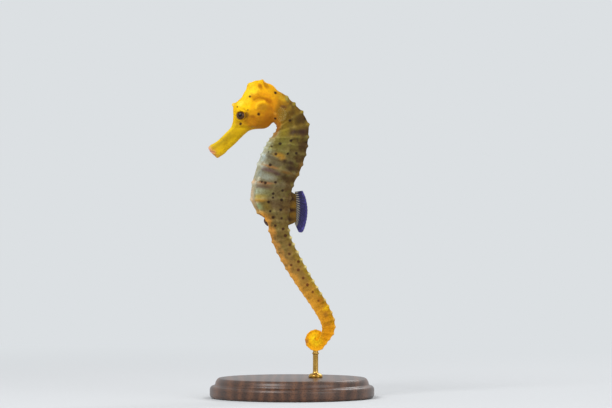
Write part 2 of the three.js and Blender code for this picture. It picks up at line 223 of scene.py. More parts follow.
scene.world = bpy.data.worlds.new("paleRoom")
add = emptyTree(scene.world)
softLight = add("Background", ("#ffffff", stageForm["softLight"]))
plainRoom = add("Background", (stageForm["room"], 1.0))
add("OutputWorld", (add("MixShader", (seenDirectly(add), softLight, plainRoom)),))
print("camera, floor and light are set")

# The body's sections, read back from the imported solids.
bodyNodes = [
    "snout", "head", "neck", "trunk_upper", "trunk_middle", "trunk_lower",
    "tail_base", "tail_upper", "tail_middle", "tail_lower", "tail_coil",
]
sectionPoints = 14    # points round each section, from the middle of the back down the left side
firstStation = -15.0  # the lips; 0 is the back of the head and each whole number after it a bony ring
headEnd, vent, tailEnd = -2.0, 11.0, 44.5
upperLip, lipsMiddle = np.array((-37.6, 0, 113.0)), np.array((-37.2, 0, 111.5))   # to start the count from


def sectionsOf(node):
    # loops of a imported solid, walked from one end's centre point to the other
    bm = bmesh.new()
    bm.from_mesh(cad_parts[node].data)
    bmesh.ops.remove_doubles(bm, verts=bm.verts, dist=1e-6)
    start = next(v for v in bm.verts if len(v.link_edges) == sectionPoints and abs(v.co.y) < 1e-5)
    seen, ring, loops = {start}, [start], []
    while ring:
        ring = list({e.other_vert(v) for v in ring for e in v.link_edges} - seen)
        seen.update(ring)
        if len(ring) == sectionPoints:
            loops.append(np.array([v.co for v in ring]) / mm)
    bm.free()
    return loops


def ordered(loop, lastBack):
    # from the middle of the back, left side (-Y) first
    middle = loop[np.argsort(np.abs(loop[:, 1]))[:2]]
    near = np.argmin(norm(middle - lastBack, axis=1))
    back, belly = middle[near], middle[1 - near]
    centre, rise = (back + belly) / 2, (back - belly) / norm(back - belly)
    turn = np.arctan2(-loop[:, 1], (loop - centre) @ rise) % (2 * math.pi)
    turn[turn > 2 * math.pi - 1e-4] = 0
    return loop[np.argsort(turn)]


def readSections():
    stations, sections = [], []
    lastBack, lastCentre, at = upperLip, lipsMiddle, firstStation
    for node in bodyNodes:
        loops = sectionsOf(node)
        if norm(loops[0].mean(0) - lastCentre) > norm(loops[-1].mean(0) - lastCentre):
            loops.reverse()
        for i, loop in enumerate(loops):
            loop = ordered(loop, lastBack)
            lastBack, lastCentre = loop[0], loop.mean(0)
            if i == 0 and sections:
                sections[-1] = (sections[-1] + loop) / 2
                continue
            sections.append(loop)
            stations.append(at)
            at += 0.5
    return np.array(stations), np.array(sections)


stations, sections = readSections()
print(f"{len(stations)} sections read, from {stations[0]} to {stations[-1]}")

# Whole-number sections alone give the line through the knobs from the nape on.
kept = (stations <= headEnd) | (stations == np.round(stations)) | (stations == tailEnd)
knots, controls = stations[kept], sections[kept]

skinForm = {   # sizes in mm, and shares of the distance between rings or of the half depth
    "around": 112, "rowGap": 0.3, "rowsPerRing": 9,
    "valley": 0.62, "tailValleyShare": 0.17, "deepestShare": 0.22,   # how far plates sink between rings
    "nape": 0.3, "napeReach": 1.9, "napeBolder": 0.6, "undersideFainter": 0.6, "coilFainter": 0.5,
    "coilSideFainter": 0.42,
    "ringWidth": 0.8, "ringWidthShare": 0.17, "ridgeWidth": 0.55, "knobRadius": 0.85, "widthShare": 0.24,
    "ringShare": 0.42, "ridgeShare": 0.36, "knobShare": 0.56,   # of the valley's depth
    "unevenness": 0.07, "unevenSize": 1.7,   # gentle lumps of the plates
}
fades = {
    # between which stations each thing sets in along the body
    "trunkEnd": (vent - 0.3, vent + 2.2), "tailPlates": (vent - 1, vent + 1), "body": (-2.4, 1.0),
    "rings": (-2.4, 0.2), "headEnd": (-1.5, 0.5), "underTail": (14, 20), "coil": (27, 32),
    "noValleyShadeOnCoil": (26, 31), "tailBack": (11, 13), "tipsEnd": (20, 27), "highBelly": (9.6, 12.5),
    # and between which places round the section
    "napeSide": (1.5, 3.0), "underSide": (3.2, 4.8), "coilSide": (1.5, 4.5), "backSide": (1.5, 2.5),
    "bellySide": (2.2, 3.4),
}
columns = skinForm["around"]
place = np.arange(columns + 1) / columns * sectionPoints   # 0 mid-back, 7 keel


def surfaceAt(at):
    # the smooth body at these station numbers: rows of points, in mm
    loops = through(knots, controls, at)
    wrapped = np.concatenate([loops[:, -2:], loops, loops[:, :3]], axis=1).transpose(1, 0, 2)
    return through(np.arange(-2, sectionPoints + 3), wrapped, place).transpose(1, 0, 2)


def rowStations():
    at = [firstStation]
    trial = surfaceAt(knots)
    for i in range(len(knots) - 1):
        reach = norm(trial[i + 1] - trial[i], axis=1).max()
        span = knots[i + 1] - knots[i]
        count = int(max(math.ceil(reach / skinForm["rowGap"]), skinForm["rowsPerRing"] * span))
        at.extend(np.linspace(knots[i], knots[i + 1], count + 1)[1:])
    return np.array(at)


at = rowStations()
smooth = surfaceAt(at)

# The tail's last turn is pressed together: its inner side is drawn in to the coil's middle. So is the outer
# side at the lowest point, and near the tip it swells out against the tail's shaft.
coilForm = {
    "pressFrom": 26.0, "pressTo": 29.0, "press": 0.36, "closeFrom": 31.0, "closeTo": 34.0, "close": 0.5,
    "innerFrom": 32, "innerTo": 41, "tucks": ((28.8, 1.5, 1.3), (38.4, 1.7, -0.85)),   # station, width, mm
}
back, belly = smooth[:, 0], smooth[:, columns // 2]
coilMiddle = belly[(at > coilForm["innerFrom"]) & (at < coilForm["innerTo"])].mean(axis=0)
depth = ((belly - back) ** 2).sum(axis=1)
inward = ((smooth - back[:, None]) * (belly - back)[:, None]).sum(axis=2) / depth[:, None]
drawnIn = coilForm["press"] * smoothStep(coilForm["pressFrom"], coilForm["pressTo"], at) + (
    coilForm["close"] * smoothStep(coilForm["closeFrom"], coilForm["closeTo"], at))
tucked = sum(tuck * hump(at - middle, width) for middle, width, tuck in coilForm["tucks"])
towards = (coilMiddle - back) / norm(coilMiddle - back, axis=1)[:, None]
smooth = smooth + (inward * drawnIn[:, None])[:, :, None] * (coilMiddle - belly)[:, None]
smooth = smooth + ((1 - inward) * tucked[:, None])[:, :, None] * towards[:, None]
bodyX, bodyY, bodyZ = np.moveaxis(smooth, 2, 0)
print(f"{len(at)} rows of {columns} points")

# Outward directions, from the slopes along the body and round it.
wrapped = np.concatenate([smooth[:, -2:-1], smooth, smooth[:, 1:2]], axis=1)
normals = np.cross(wrapped[:, 2:] - wrapped[:, :-2], np.gradient(smooth, axis=0))
normals = normals / np.maximum(norm(normals, axis=2, keepdims=True), 1e-9)
centres = smooth[:, :-1].mean(axis=1)
if ((smooth - centres[:, None]) * normals).sum() < 0:
    normals = -normals

side = np.minimum(place, sectionPoints - place)[None, :] + 0 * at[:, None]
station = at[:, None] + 0 * place[None, :]
onLeft = np.broadcast_to(place <= sectionPoints / 2, station.shape)

# Distances in mm along the skin: to the nearest ring line, and to the nearest long ridge.
pace = norm(np.gradient(smooth, axis=0), axis=2) / np.gradient(at)[:, None]
ringGap = np.abs(station - np.round(station)) * pace
steps = norm(np.diff(smooth, axis=1), axis=2)
arc = np.concatenate([np.zeros((len(at), 1)), np.cumsum(steps, axis=1)], axis=1)
halfDepth = norm(smooth[:, 0] - smooth[:, columns // 2], axis=1)[:, None] / 2


def gapTo(point):
    # distance round the section to a control point and its mirror
    gaps = []
    for target in {point, sectionPoints - point}:
        column = target / sectionPoints * columns
        base = np.array([np.interp(column, np.arange(len(place)), row) for row in arc])[:, None]
        gap = np.abs(arc - base)
        gaps.append(np.minimum(gap, arc[:, -1:] - gap))
    return np.minimum.reduce(gaps)


superior, lateral, inferior, keel = 1, 3, 5, 7
onTrunk = 1 - smoothStep(*fades["trunkEnd"], station)
ridgeGaps = {k: gapTo(k) for k in (superior, lateral, inferior, keel)}
ridgeStrength = {superior: 1.35 - 0.35 * onTrunk, lateral: onTrunk, inferior: 1.0, keel: onTrunk * 0.8}

onBody = smoothStep(*fades["body"], station)
valley = np.where(station < vent, skinForm["valley"], skinForm["tailValleyShare"] * halfDepth)
pastVent = smoothStep(*fades["tailPlates"], station)
valley = valley * pastVent + skinForm["valley"] * (1 - pastVent)
onNape = hump(station - skinForm["nape"], skinForm["napeReach"]) * (1 - smoothStep(*fades["napeSide"], side))
underTail = smoothStep(*fades["underTail"], station) * smoothStep(*fades["underSide"], side)
valley = valley * (1 + skinForm["napeBolder"] * onNape) * (1 - skinForm["undersideFainter"] * underTail)
valley = np.minimum(valley, skinForm["deepestShare"] * pace) * smoothStep(*fades["rings"], station)
fainter = skinForm["coilFainter"] + skinForm["coilSideFainter"] * smoothStep(*fades["coilSide"], side)
valley = valley * (1 - smoothStep(*fades["coil"], station) * fainter)
ringWidth = np.minimum(skinForm["ringWidth"], skinForm["ringWidthShare"] * pace)
ridgeWidth = np.minimum(skinForm["ridgeWidth"], skinForm["widthShare"] * halfDepth)
knobRadius = np.minimum(skinForm["knobRadius"], skinForm["widthShare"] * pace)

ringCrest = hump(ringGap, ringWidth)
ridgeCrest = np.maximum.reduce([hump(gap, ridgeWidth) * ridgeStrength[k] for k, gap in ridgeGaps.items()])
knob = np.maximum.reduce([
    hump(np.hypot(ringGap, gap), knobRadius) * ridgeStrength[k] for k, gap in ridgeGaps.items()])
relief = -1 + skinForm["ringShare"] * ringCrest + skinForm["ridgeShare"] * ridgeCrest
relief = valley * (relief + skinForm["knobShare"] * knob)
lumps = np.array([noise.noise(Vector(point) / skinForm["unevenSize"]) for point in smooth.reshape(-1, 3)])
relief = relief + skinForm["unevenness"] * lumps.reshape(station.shape) * smoothStep(0.4, 1.6, pace * 0.5)
skin = smooth + normals * relief[:, :, None]
print("rings, ridges and knobs are raised")


# The head: eye sockets, gill covers, coronet, brow and cheek lines.
def middleOf(node):
    low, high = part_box(node)
    return np.array((low + high) / 2) / mm


eyeAt = middleOf("eye_left")
gillAt = middleOf("gill_cover_left")
crownLow, crownHigh = inMm(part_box("coronet"))
onHead = 1 - smoothStep(*fades["headEnd"], station)
sideFacing = smoothStep(0.15, 0.6, np.abs(normals[:, :, 1]))

eyeForm = {
    "radius": 2.35, "lid": 2.42, "lidWidth": 0.42, "lidRise": 0.5, "upperLidLower": 0.14,
    "sink": 1.7, "sinkFrom": 1.45, "sinkTo": 2.15,
}
dx, dz = bodyX - eyeAt[0], bodyZ - eyeAt[2]
fromEye = np.hypot(dx, dz * (1.0 + eyeForm["upperLidLower"] * (dz > 0)))
lift = eyeForm["lidRise"] * hump(fromEye - eyeForm["lid"], eyeForm["lidWidth"])
lift -= eyeForm["sink"] * (1 - smoothStep(eyeForm["sinkFrom"], eyeForm["sinkTo"], fromEye))

# The gill cover: a dome with a sharp rim above and behind that runs out into the cheek below and in front.
gillForm = {
    "radius": 4.6, "rise": 0.62, "squash": 0.94, "softDome": 3.4, "softRim": 0.2, "sharpTowards": 88,
    "sharpFrom": -0.1, "sharpTo": 0.75, "groove": 0.42, "grooveWidth": 0.5, "grooveOut": 0.3,
    "rays": 22, "rayRise": 0.06, "rayHub": (3.0, 2.2), "rayFade": (0.8, 2.6),
}
gx, gz = bodyX - gillAt[0], bodyZ - gillAt[2]
fromGill = np.hypot(gx, gz * gillForm["squash"])
rim = np.cos(np.arctan2(gz, gx) - math.radians(gillForm["sharpTowards"]))
rim = smoothStep(gillForm["sharpFrom"], gillForm["sharpTo"], rim)
rim = gillForm["softRim"] + (1 - gillForm["softRim"]) * rim
dome = np.sqrt(np.clip(1 - (fromGill / gillForm["radius"]) ** 2, 0, 1)) * rim
dome += hump(fromGill, gillForm["softDome"]) * (1 - rim)
hubX, hubZ = gx + gillForm["rayHub"][0], gz + gillForm["rayHub"][1]
gillRays = np.cos(gillForm["rays"] * np.arctan2(hubZ, hubX))
gillRays *= smoothStep(*gillForm["rayFade"], np.hypot(hubX, hubZ))
lift += gillForm["rise"] * dome + gillForm["rayRise"] * np.clip(dome, 0, 1) * gillRays
fromGroove = fromGill - gillForm["radius"] - gillForm["grooveOut"]
lift -= gillForm["groove"] * rim * hump(fromGroove, gillForm["grooveWidth"])


def strokeGap(start, bend, end):
    # distance in side view to a bent line; its points are from the eye's centre
    t = np.linspace(0, 1, 25)[:, None]
    line = (1 - t) ** 2 * np.array(start) + 2 * t * (1 - t) * np.array(bend) + t * t * np.array(end)
    return np.min([np.hypot(dx - px, dz - pz) for px, pz in line], axis=0)


# Raised (or sunk) strokes in side view: start, bend and end from the eye's centre, width, rise.
headStrokes = {
    "brow": ((-1.6, 2.4), (0.2, 4.2), (2.6, 3), 0.8, 0.55),
    "temple": ((4.2, 8.4), (8, 10.6), (12.2, 8.2), 0.8, 0.3),
    "temple groove": ((5.6, 7), (8.2, 8.8), (11, 7), 0.65, -0.4),
    "gill crescent": ((6.5, 3.4), (6.9, 6.4), (10.8, 6), 0.55, 0.3),
    "gill hollow": ((8.2, 3.6), (8.9, 4.6), (10.6, 4.8), 0.8, -0.3),
    "cheek": ((-3.6, -4.2), (1.5, -4.6), (6.5, -4.4), 0.7, 0.3),
    "jaw groove": ((-2.6, -5.6), (3, -6), (8, -5.2), 0.5, -0.2),
    "mouth groove": ((-16.4, -15.9), (-14.4, -16.3), (-12.4, -16.6), 0.42, -0.5),
    "jaw fold": ((-12.6, -15.2), (-11.4, -16.6), (-10.9, -18.4), 0.5, -0.16),
    "snout ridge": ((-13, -13.2), (-7, -7), (-3.4, -1), 0.6, 0.14),
    "back of the eye": ((2.2, -1.8), (3.6, 0), (2.8, 2.4), 0.6, 0.25),
}
for start, bend, end, width, rise in headStrokes.values():
    lift += rise * hump(strokeGap(start, bend, end), width)
lift *= sideFacing * onHead

# Round knobs: place from the eye's centre (along, out of the mid-plane, up), radius, rise.
headKnobs = {
    "nose spine": (-3.4, 0, 4.9, 0.75, 0.75),
    "chin": (-10.9, 0, -19.3, 0.85, 0.75),
    "throat": (-8.9, 0, -17.6, 1.3, -0.5),
    "upper lip": (-15.3, 0, -13.6, 0.9, 0.35),
    "nape front": (12.4, 0, 14.2, 1.6, 0.45),
    "nape hollow": (16.2, 0, 11.8, 2.3, -0.95),
    "nape middle": (18.6, 0, 9.8, 1.2, 0.25),
    "cheek spine": (0.4, 3.6, -4, 0.8, 0.4),
    "neck spine": (14.4, 3.8, 1.2, 0.75, 0.45),
}
for along, out, up, radius, rise in headKnobs.values():
    gap = np.sqrt((dx - along) ** 2 + (np.abs(bodyY) - out) ** 2 + (dz - up) ** 2)
    lift += rise * hump(gap, radius)

# Nostrils: two small pits on each side, just before the eye.
nostrils = {"places": ((-3.3, 0.2), (-2.9, 1.3)), "radius": 0.32, "depth": 0.3, "clearOfMiddle": 0.8}
for along, up in nostrils["places"]:
    gap = np.hypot(dx - along, dz - up) + 3 * (np.abs(bodyY) < nostrils["clearOfMiddle"])
    lift -= nostrils["depth"] * hump(gap, nostrils["radius"])

skin = skin + normals * lift[:, :, None]

# The coronet: a low mound with a steep front, with blunt points round a shallow cup.
crownForm = {
    # place as a share of the coronet's length, and how far the mound lies under its top, mm
    "profile": {-0.1: 2.4, 0.05: 1.8, 0.25: 1.3, 0.5: 0.8, 0.7: 0.42, 0.9: 0.35, 1: 1.1, 1.2: 1.5, 1.4: 2.1,
                1.52: 2.9},
    "front": crownLow[0] - 0.6, "back": crownHigh[0] + 1.2, "halfWidth": 3.2, "squareness": 2.6,
    "cup": 0.55, "cupRadius": 1.1, "lean": 0.06,
    # place along as that share, across in mm, height, radius
    "points": [(0.08, 0, 0.25, 0.9), (0.42, 1.8, 0.3, 1.1), (0.42, -1.8, 0.3, 1.1),
               (0.87, 1, 0.3, 0.8), (0.87, -1, 0.3, 0.8), (1.3, 0, 0.2, 1)],
}
crownLength = crownHigh[0] - crownLow[0]
crownShare = (bodyX - crownLow[0]) / crownLength
cx = (bodyX - (crownForm["front"] + crownForm["back"]) / 2) / (crownForm["back"] - crownForm["front"]) * 2
cy = bodyY / crownForm["halfWidth"]
power = crownForm["squareness"]
fromCrown = (np.abs(cx) ** power + np.abs(cy) ** power) ** (1 / power)
fade = 1 - smoothStep(np.where(cx < 0, 0.93, 0.7), np.where(cx < 0, 1.1, 1.35), fromCrown)
facingUp = smoothStep(-0.1, 0.3, normals[:, :, 2]) * (bodyZ > crownLow[2] - 5)
profile = crownForm["profile"]
crownTop = crownHigh[2] - np.interp(crownShare, list(profile), list(profile.values()))
crown = np.maximum(crownTop - skin[:, :, 2], 0) * fade
crown -= crownForm["cup"] * hump(np.hypot((crownShare - 0.5) * crownLength, bodyY), crownForm["cupRadius"])
for along, across, rise, radius in crownForm["points"]:
    crown += rise * hump(np.hypot((crownShare - along) * crownLength, bodyY - across), radius)
crown = crown * facingUp * onHead
skin[:, :, 2] += crown
skin[:, :, 0] += crown * crownForm["lean"]

# The fleshy foot of the dorsal fin stands out of the back as a narrow strip.
footForm = {"halfWidth": 0.6, "fadeOut": 2.1, "out": 0.3, "wave": 0.1, "waveLength": 0.9,
            "lowFade": (-0.9, 1.9), "highFade": (-2.2, 0.5), "stations": (7, 13), "behind": -4}
footLow, footHigh = inMm(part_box("dorsal_fin_base"))
footShare = smoothStep(*footForm["lowFade"], bodyZ - footLow[2])
footShare *= 1 - smoothStep(*footForm["highFade"], bodyZ - footHigh[2])
footShare *= 1 - smoothStep(footForm["halfWidth"], footForm["fadeOut"], np.abs(bodyY))
footFrom, footTo = footForm["stations"]
footShare *= (bodyX > footForm["behind"]) & (station > footFrom) & (station < footTo)
wave = footForm["wave"] * np.cos(bodyZ * 2 * math.pi / footForm["waveLength"])
skin[:, :, 0] += np.maximum(footHigh[0] + footForm["out"] + wave - skin[:, :, 0], 0) * footShare
print("head and fin foot are shaped")

# The lips roll in to a closed mouth, and the tail's tip is rounded off.
lips = skin[0]
lipCentre = lips[:-1].mean(axis=0)
lipRise = (lips[0] - lips[columns // 2]) / norm(lips[0] - lips[columns // 2])
forward = np.array((lipRise[2], 0, -lipRise[0]))
if forward @ (lips.mean(axis=0) - skin[20].mean(axis=0)) < 0:
    forward = -forward
# share of the width and of the height kept, and how far forward, from the mouth's floor out to the lips
mouthSteps = [(0, 0, -1.6), (0.35, 0.06, -1.5), (0.6, 0.1, -0.8), (0.7, 0.16, -0.2), (0.78, 0.34, 0.1),
              (0.86, 0.58, 0.26), (0.93, 0.8, 0.22), (0.98, 0.93, 0.11)]
mouthShade = np.array([1, 1, 1, 0.9, 0.5, 0.15, 0, 0])[:, None]
offset = lips - lipCentre
upward = (offset @ lipRise)[:, None] * lipRise
mouthRows = [
    lipCentre + upward * height + (offset - upward) * width + forward * out
    for width, height, out in mouthSteps
]
tip = skin[-1]
tipCentre = tip[:-1].mean(axis=0)
onwards = tipCentre - skin[-12][:-1].mean(axis=0)
onwards = onwards / norm(onwards)
tipRadius = norm(tip - tipCentre, axis=1).mean()
tipRows = [
    tipCentre + (tip - tipCentre) * math.cos(turn) + onwards * tipRadius * math.sin(turn)
    for turn in np.linspace(0, math.pi / 2, 6)[1:]
]
skinPoints = np.concatenate([mouthRows, skin, tipRows])
skinPoints[:, -1] = skinPoints[:, 0]


def padRows(values, mouth=None):
    # the same values with rows for the mouth and the tip added
    first = values[:1] if mouth is None else mouth
    return np.concatenate([
        first * np.ones((len(mouthRows), columns + 1)), values, np.repeat(values[-1:], len(tipRows), axis=0)])


# Soft patches painted on the head, each over those before it: colour, place from the eye's centre, half size,
# turn in degrees, strength.
headPatches = [
    # the cheek's orange-brown, partly its own colour and partly painted shade
    ("#a25e08", (7.5, -2.4), (8.7, 3.4), 4, 0.88),
    ("#a8660a", (12.9, 0.8), (3.2, 5), 0, 0.85),
    ("#b87408", (9.6, 3), (5.4, 2.8), 0, 0.55),
    ("#bc7a0c", (5, 0.7), (3.4, 2), 0, 0.65),
    # painted shade in the hollow below the gill crescent
    ("#9c6c0a", (9.7, 3.6), (2.5, 1.9), 0, 0.8),
    ("#a85e04", (12.4, 6.6), (2.3, 1.5), -30, 0.85),
    ("#cc820a", (14.8, 5.2), (1.5, 2.6), -20, 0.7),
    ("#a4660a", (7, 2.9), (1.3, 0.9), 0, 0.7),
    ("#a0620a", (8.9, 1.3), (1.9, 0.9), 0, 0.65),
    ("#b87208", (9, 6.6), (2.8, 0.8), 0, 0.55),
    ("#ffdc24", (5.8, 10.2), (2.8, 1.5), 0, 0.7),
    ("#a66804", (11.2, 13), (1.9, 1.1), -15, 0.85),
    ("#a65c02", (8.4, 11.6), (1.3, 0.8), 0, 0.85),
    ("#cf9408", (13.6, 11.6), (2.2, 1.6), -35, 0.6),
    ("#ffd428", (3, 9), (2.4, 5), -20, 0.5),
    ("#ffe446", (-0.4, 5.4), (1.9, 1.3), 40, 0.75),
    ("#ffd61c", (5.4, 13.6), (3.6, 1.6), 0, 0.7),
    ("#ffca10", (1.4, 3.6), (3.4, 1.4), 12, 0.95),
    ("#8c5006", (4.9, -0.5), (1.6, 0.9), 0, 0.7),
    ("#54300c", (2.1, 0.1), (1.5, 1.6), -20, 0.85),
    ("#6a4008", (2.4, 0.9), (0.8, 1.2), 20, 0.5),
    ("#8a5a08", (-1.2, -3.4), (2, 0.9), -20, 0.35),
    ("#90600c", (17, 2.4), (2, 3), 0, 0.75),
    ("#5a431e", (26, 1), (2.8, 4.8), 30, 0.8),
    ("#765817", (20.6, -0.4), (2.6, 3.2), 0, 0.6),
    ("#cfa01c", (18.3, 7.8), (2.2, 1.3), -42, 0.75),
    ("#8b7d3c", (20.8, 7.3), (1.2, 0.9), -42, 0.8),
    ("#886a1e", (25, 2.4), (1.4, 2.6), 10, 0.6),
    ("#6c4624", (19, 3.9), (1.7, 0.8), -12, 0.85),
    ("#cf9230", (15.2, 0.9), (0.8, 0.7), 0, 0.8),
    ("#f0d070", (-3.7, 5.1), (0.8, 0.8), 0, 0.6),
    ("#e2ae50", (-13.2, -16), (1.7, 1.5), -40, 0.75),
    ("#f2d06c", (-14.6, -13.8), (1.3, 0.8), -35, 0.7),
]
# Painted strokes on the head: colour, start, bend and end from the eye's centre, width, strength.
headLines = [
    ("#f2d428", (-13.4, -13), (-8.4, -9.4), (-3.6, -4.4), 0.9, 0.7),
    ("#a88a08", (-12.6, -14.6), (-9, -12.2), (-5.4, -9), 1, 0.75),
    ("#e4ba0a", (-10.6, -17), (-6.2, -13.6), (-1, -8.8), 0.8, 0.6),
    ("#de8f08", (5, 8.6), (9, 10.4), (12.6, 8.6), 1, 0.8),
    ("#a86408", (5.8, 7.2), (8.4, 8.8), (11.6, 6.8), 0.7, 0.9),
    ("#cf9204", (6.6, 6.2), (7.6, 7.2), (9.6, 7), 0.45, 0.7),
    # painted highlight along the raised crescent rim of the gill cover
    ("#ffc41a", (6.5, 3.3), (6.9, 6.3), (10.3, 6.3), 0.6, 1),
    ("#dc8a5c", (-16, -16), (-14.4, -16.3), (-12.2, -16.6), 0.5, 0.8),
    ("#e8c088", (-14.6, -17.2), (-12.8, -18.3), (-10.8, -19.4), 0.5, 0.4),
]
# Patches from the neck to the tail: colour, ring number, place round the section, half sizes round and along,
# strength.
ringPatches = [
    ("#b87618", 0.2, 5.9, (4, 3.2), 0.95),
    ("#a8681c", 1.9, 6.1, (2.4, 3.2), 0.7),
    ("#8a7020", 1.5, 4.3, (2.4, 3.6), 0.75),
    ("#98882c", 2.5, 4.3, (2.6, 3), 0.72),
    ("#7c7a38", 3.6, 3.9, (3, 3.6), 0.62),
    ("#7a7438", 5, 3.7, (2.8, 2), 0.5),
    ("#46322e", 2.45, 3.1, (1.9, 1.3), 0.85),
    ("#4a3230", 2.5, 2, (2.6, 1.7), 0.85),
    ("#503a1c", 1.1, 3.2, (1.4, 1.1), 0.75),
    ("#4e3210", 0.5, 2.7, (2, 1.5), 0.6),
    ("#3a260e", 1.55, 2.2, (2.2, 1.5), 0.55),
    ("#3a2216", 2.45, 2.3, (2, 1), 0.5),
    ("#42341a", 3.2, 2.4, (1.8, 1.1), 0.5),
    ("#aca05c", 3.1, 5.1, (2, 2.2), 0.6),
    ("#a89c4a", -1, 1.3, (1.5, 1), 0.75),
    ("#b09a36", 0, 1.1, (1.5, 1), 0.8),
    ("#a48c30", 1, 1.1, (1.5, 1), 0.8),
    ("#94802a", 2, 1.1, (1.5, 1), 0.8),
    ("#806628", 1.9, 1.2, (1.6, 1.8), 0.6),
    ("#806628", 3.1, 0.7, (1.4, 1.6), 0.6),
    ("#4a3620", 4.1, 1.5, (2.6, 2.8), 0.6),
    ("#94904e", 5, 5.2, (2.6, 1.8), 0.85),
    ("#7a6e38", 4, 4.9, (2.2, 1.4), 0.8),
    ("#4a3814", 4.8, 2.4, (2, 1.4), 0.55),
    ("#868470", 6.1, 4.8, (3.6, 2.8), 0.75),
    ("#cadce0", 6.4, 5.9, (3.2, 2.6), 1),
    ("#bc8e26", 5.62, 3.75, (2.6, 1.3), 0.85),
    ("#a47a26", 5.9, 3.2, (2, 1.2), 0.75),
    ("#4c3a26", 6.02, 4.3, (2.6, 0.6), 0.6),
    ("#4e3822", 6.35, 2.9, (1.8, 1), 0.5),
    ("#54402c", 6.2, 3.9, (2.8, 0.6), 0.6),
    ("#6e6652", 6.55, 3.8, (2.8, 1.4), 0.75),
    ("#301a14", 6.06, 2.9, (1.5, 1.2), 0.9),
    ("#38201a", 6.1, 2.2, (1.5, 1.3), 0.85),
    ("#38221a", 6.62, 2, (2.1, 1.4), 0.8),
    ("#8a642c", 6.1, 1.1, (1.5, 2), 0.55),
    ("#a0703e", 6.95, 4.1, (4.2, 0.7), 0.85),
    ("#a89a74", 6.9, 5.4, (2.2, 1.2), 0.85),
    ("#6e565a", 7.22, 4.3, (4.4, 1.1), 0.85),
    ("#4a3232", 7.33, 3.2, (2.4, 1.1), 0.85),
    ("#7a541e", 7.08, 2.3, (2.6, 0.9), 0.8),
    ("#b0bcb6", 7.52, 5.5, (4.2, 2.3), 1),
    ("#a0a69c", 7.62, 4.3, (4.4, 1.9), 0.95),
    ("#d8d4bc", 7.76, 5.2, (2.2, 1), 0.95),
    ("#463018", 7.5, 2.1, (2.1, 1.5), 0.8),
    ("#8c6c20", 7, 0.9, (1.8, 2.2), 0.6),
    ("#9c6a3e", 7.97, 4.2, (4.6, 0.75), 0.85),
    ("#d8b894", 7.95, 6.5, (2.4, 1.3), 0.95),
    ("#806040", 8.12, 4.6, (4.8, 0.7), 0.8),
    ("#644c44", 8.24, 4.4, (4.8, 0.9), 0.8),
    ("#b2bca4", 8.52, 4.9, (4.4, 2.1), 1),
    ("#88885a", 8.6, 3.7, (3.2, 2), 0.75),
    ("#e0c8ac", 8.6, 6.6, (2.3, 2.8), 0.95),
    ("#b29c44", 8.82, 4.8, (4, 1.5), 0.85),
    ("#b88a2a", 9.08, 4.9, (4.4, 1), 0.9),
    ("#93a47a", 9.5, 4.9, (2.4, 2.2), 0.9),
    ("#d8b488", 9.1, 6.4, (2, 2), 0.85),
    ("#8c762e", 9.5, 3.9, (2.2, 2.2), 0.7),
    ("#766048", 9.4, 2.8, (3, 2.8), 0.6),
    ("#d8963a", 10.4, 5.4, (4.2, 4), 1),
    ("#cc9440", 11.8, 5.4, (2.8, 3.8), 0.85),
    ("#36180f", 11.1, 6.1, (1.6, 1.1), 1),
    ("#946e1e", 9.9, 0, (2.4, 7.4), 0.9),
    ("#28100e", 9.04, 0.6, (1.7, 1.2), 1),
    ("#2c120c", 9.96, 0.55, (1.9, 1.3), 1),
    ("#260c0c", 10.8, 0.7, (1.6, 1.7), 1),
    ("#7a5c2c", 17.6, 2.5, (1.6, 4.4), 0.55),
    ("#9a5c12", 21.75, 2.2, (1.7, 2), 0.7),
    ("#8e5e1c", 23.9, 2.8, (1.7, 1.4), 0.75),
    ("#f4c010", 23.1, 1.8, (2.2, 1.1), 0.9),
    ("#96661c", 25.6, 2.9, (1.6, 1.1), 0.5),
    ("#ffd014", 32, 4.6, (3, 8), 0.8),
    ("#ffd014", 37, 4.6, (3, 5), 0.6),
    ("#b8703c", 33.6, 1.1, (1.5, 1.6), 0.8),
]

paint, paintShare = np.zeros(skin.shape), np.zeros_like(station)


def layOn(colour, weight):
    # a coat of paint over the coats so far
    paint[:] = paint * (1 - weight[:, :, None]) + np.array(linear(colour)[:3]) * weight[:, :, None]
    paintShare[:] = paintShare * (1 - weight) + weight


patchEdges = {"head": (0.45, 1.25), "body": (0.15, 1.35)}   # where a patch fades, as a share of its half size
beforeNeck = station < 3
for colour, (along, up), (halfLong, halfWide), turn, strength in headPatches:
    c, s = math.cos(math.radians(turn)), math.sin(math.radians(turn))
    px, pz = dx - along, dz - up
    spread = np.hypot((px * c + pz * s) / halfLong, (pz * c - px * s) / halfWide)
    layOn(colour, strength * (1 - smoothStep(*patchEdges["head"], spread)) * beforeNeck)
for colour, start, bend, end, width, strength in headLines:
    layOn(colour, strength * hump(strokeGap(start, bend, end), width) * beforeNeck)
for colour, ring, around, (halfRound, halfAlong), strength in ringPatches:
    roundGap = (side - around) * arc[:, -1:] / sectionPoints
    spread = np.hypot((station - ring) * pace / halfAlong, roundGap / halfRound)
    layOn(colour, strength * (1 - smoothStep(*patchEdges["body"], spread)))
paint = paint / np.maximum(paintShare, 1e-6)[:, :, None]

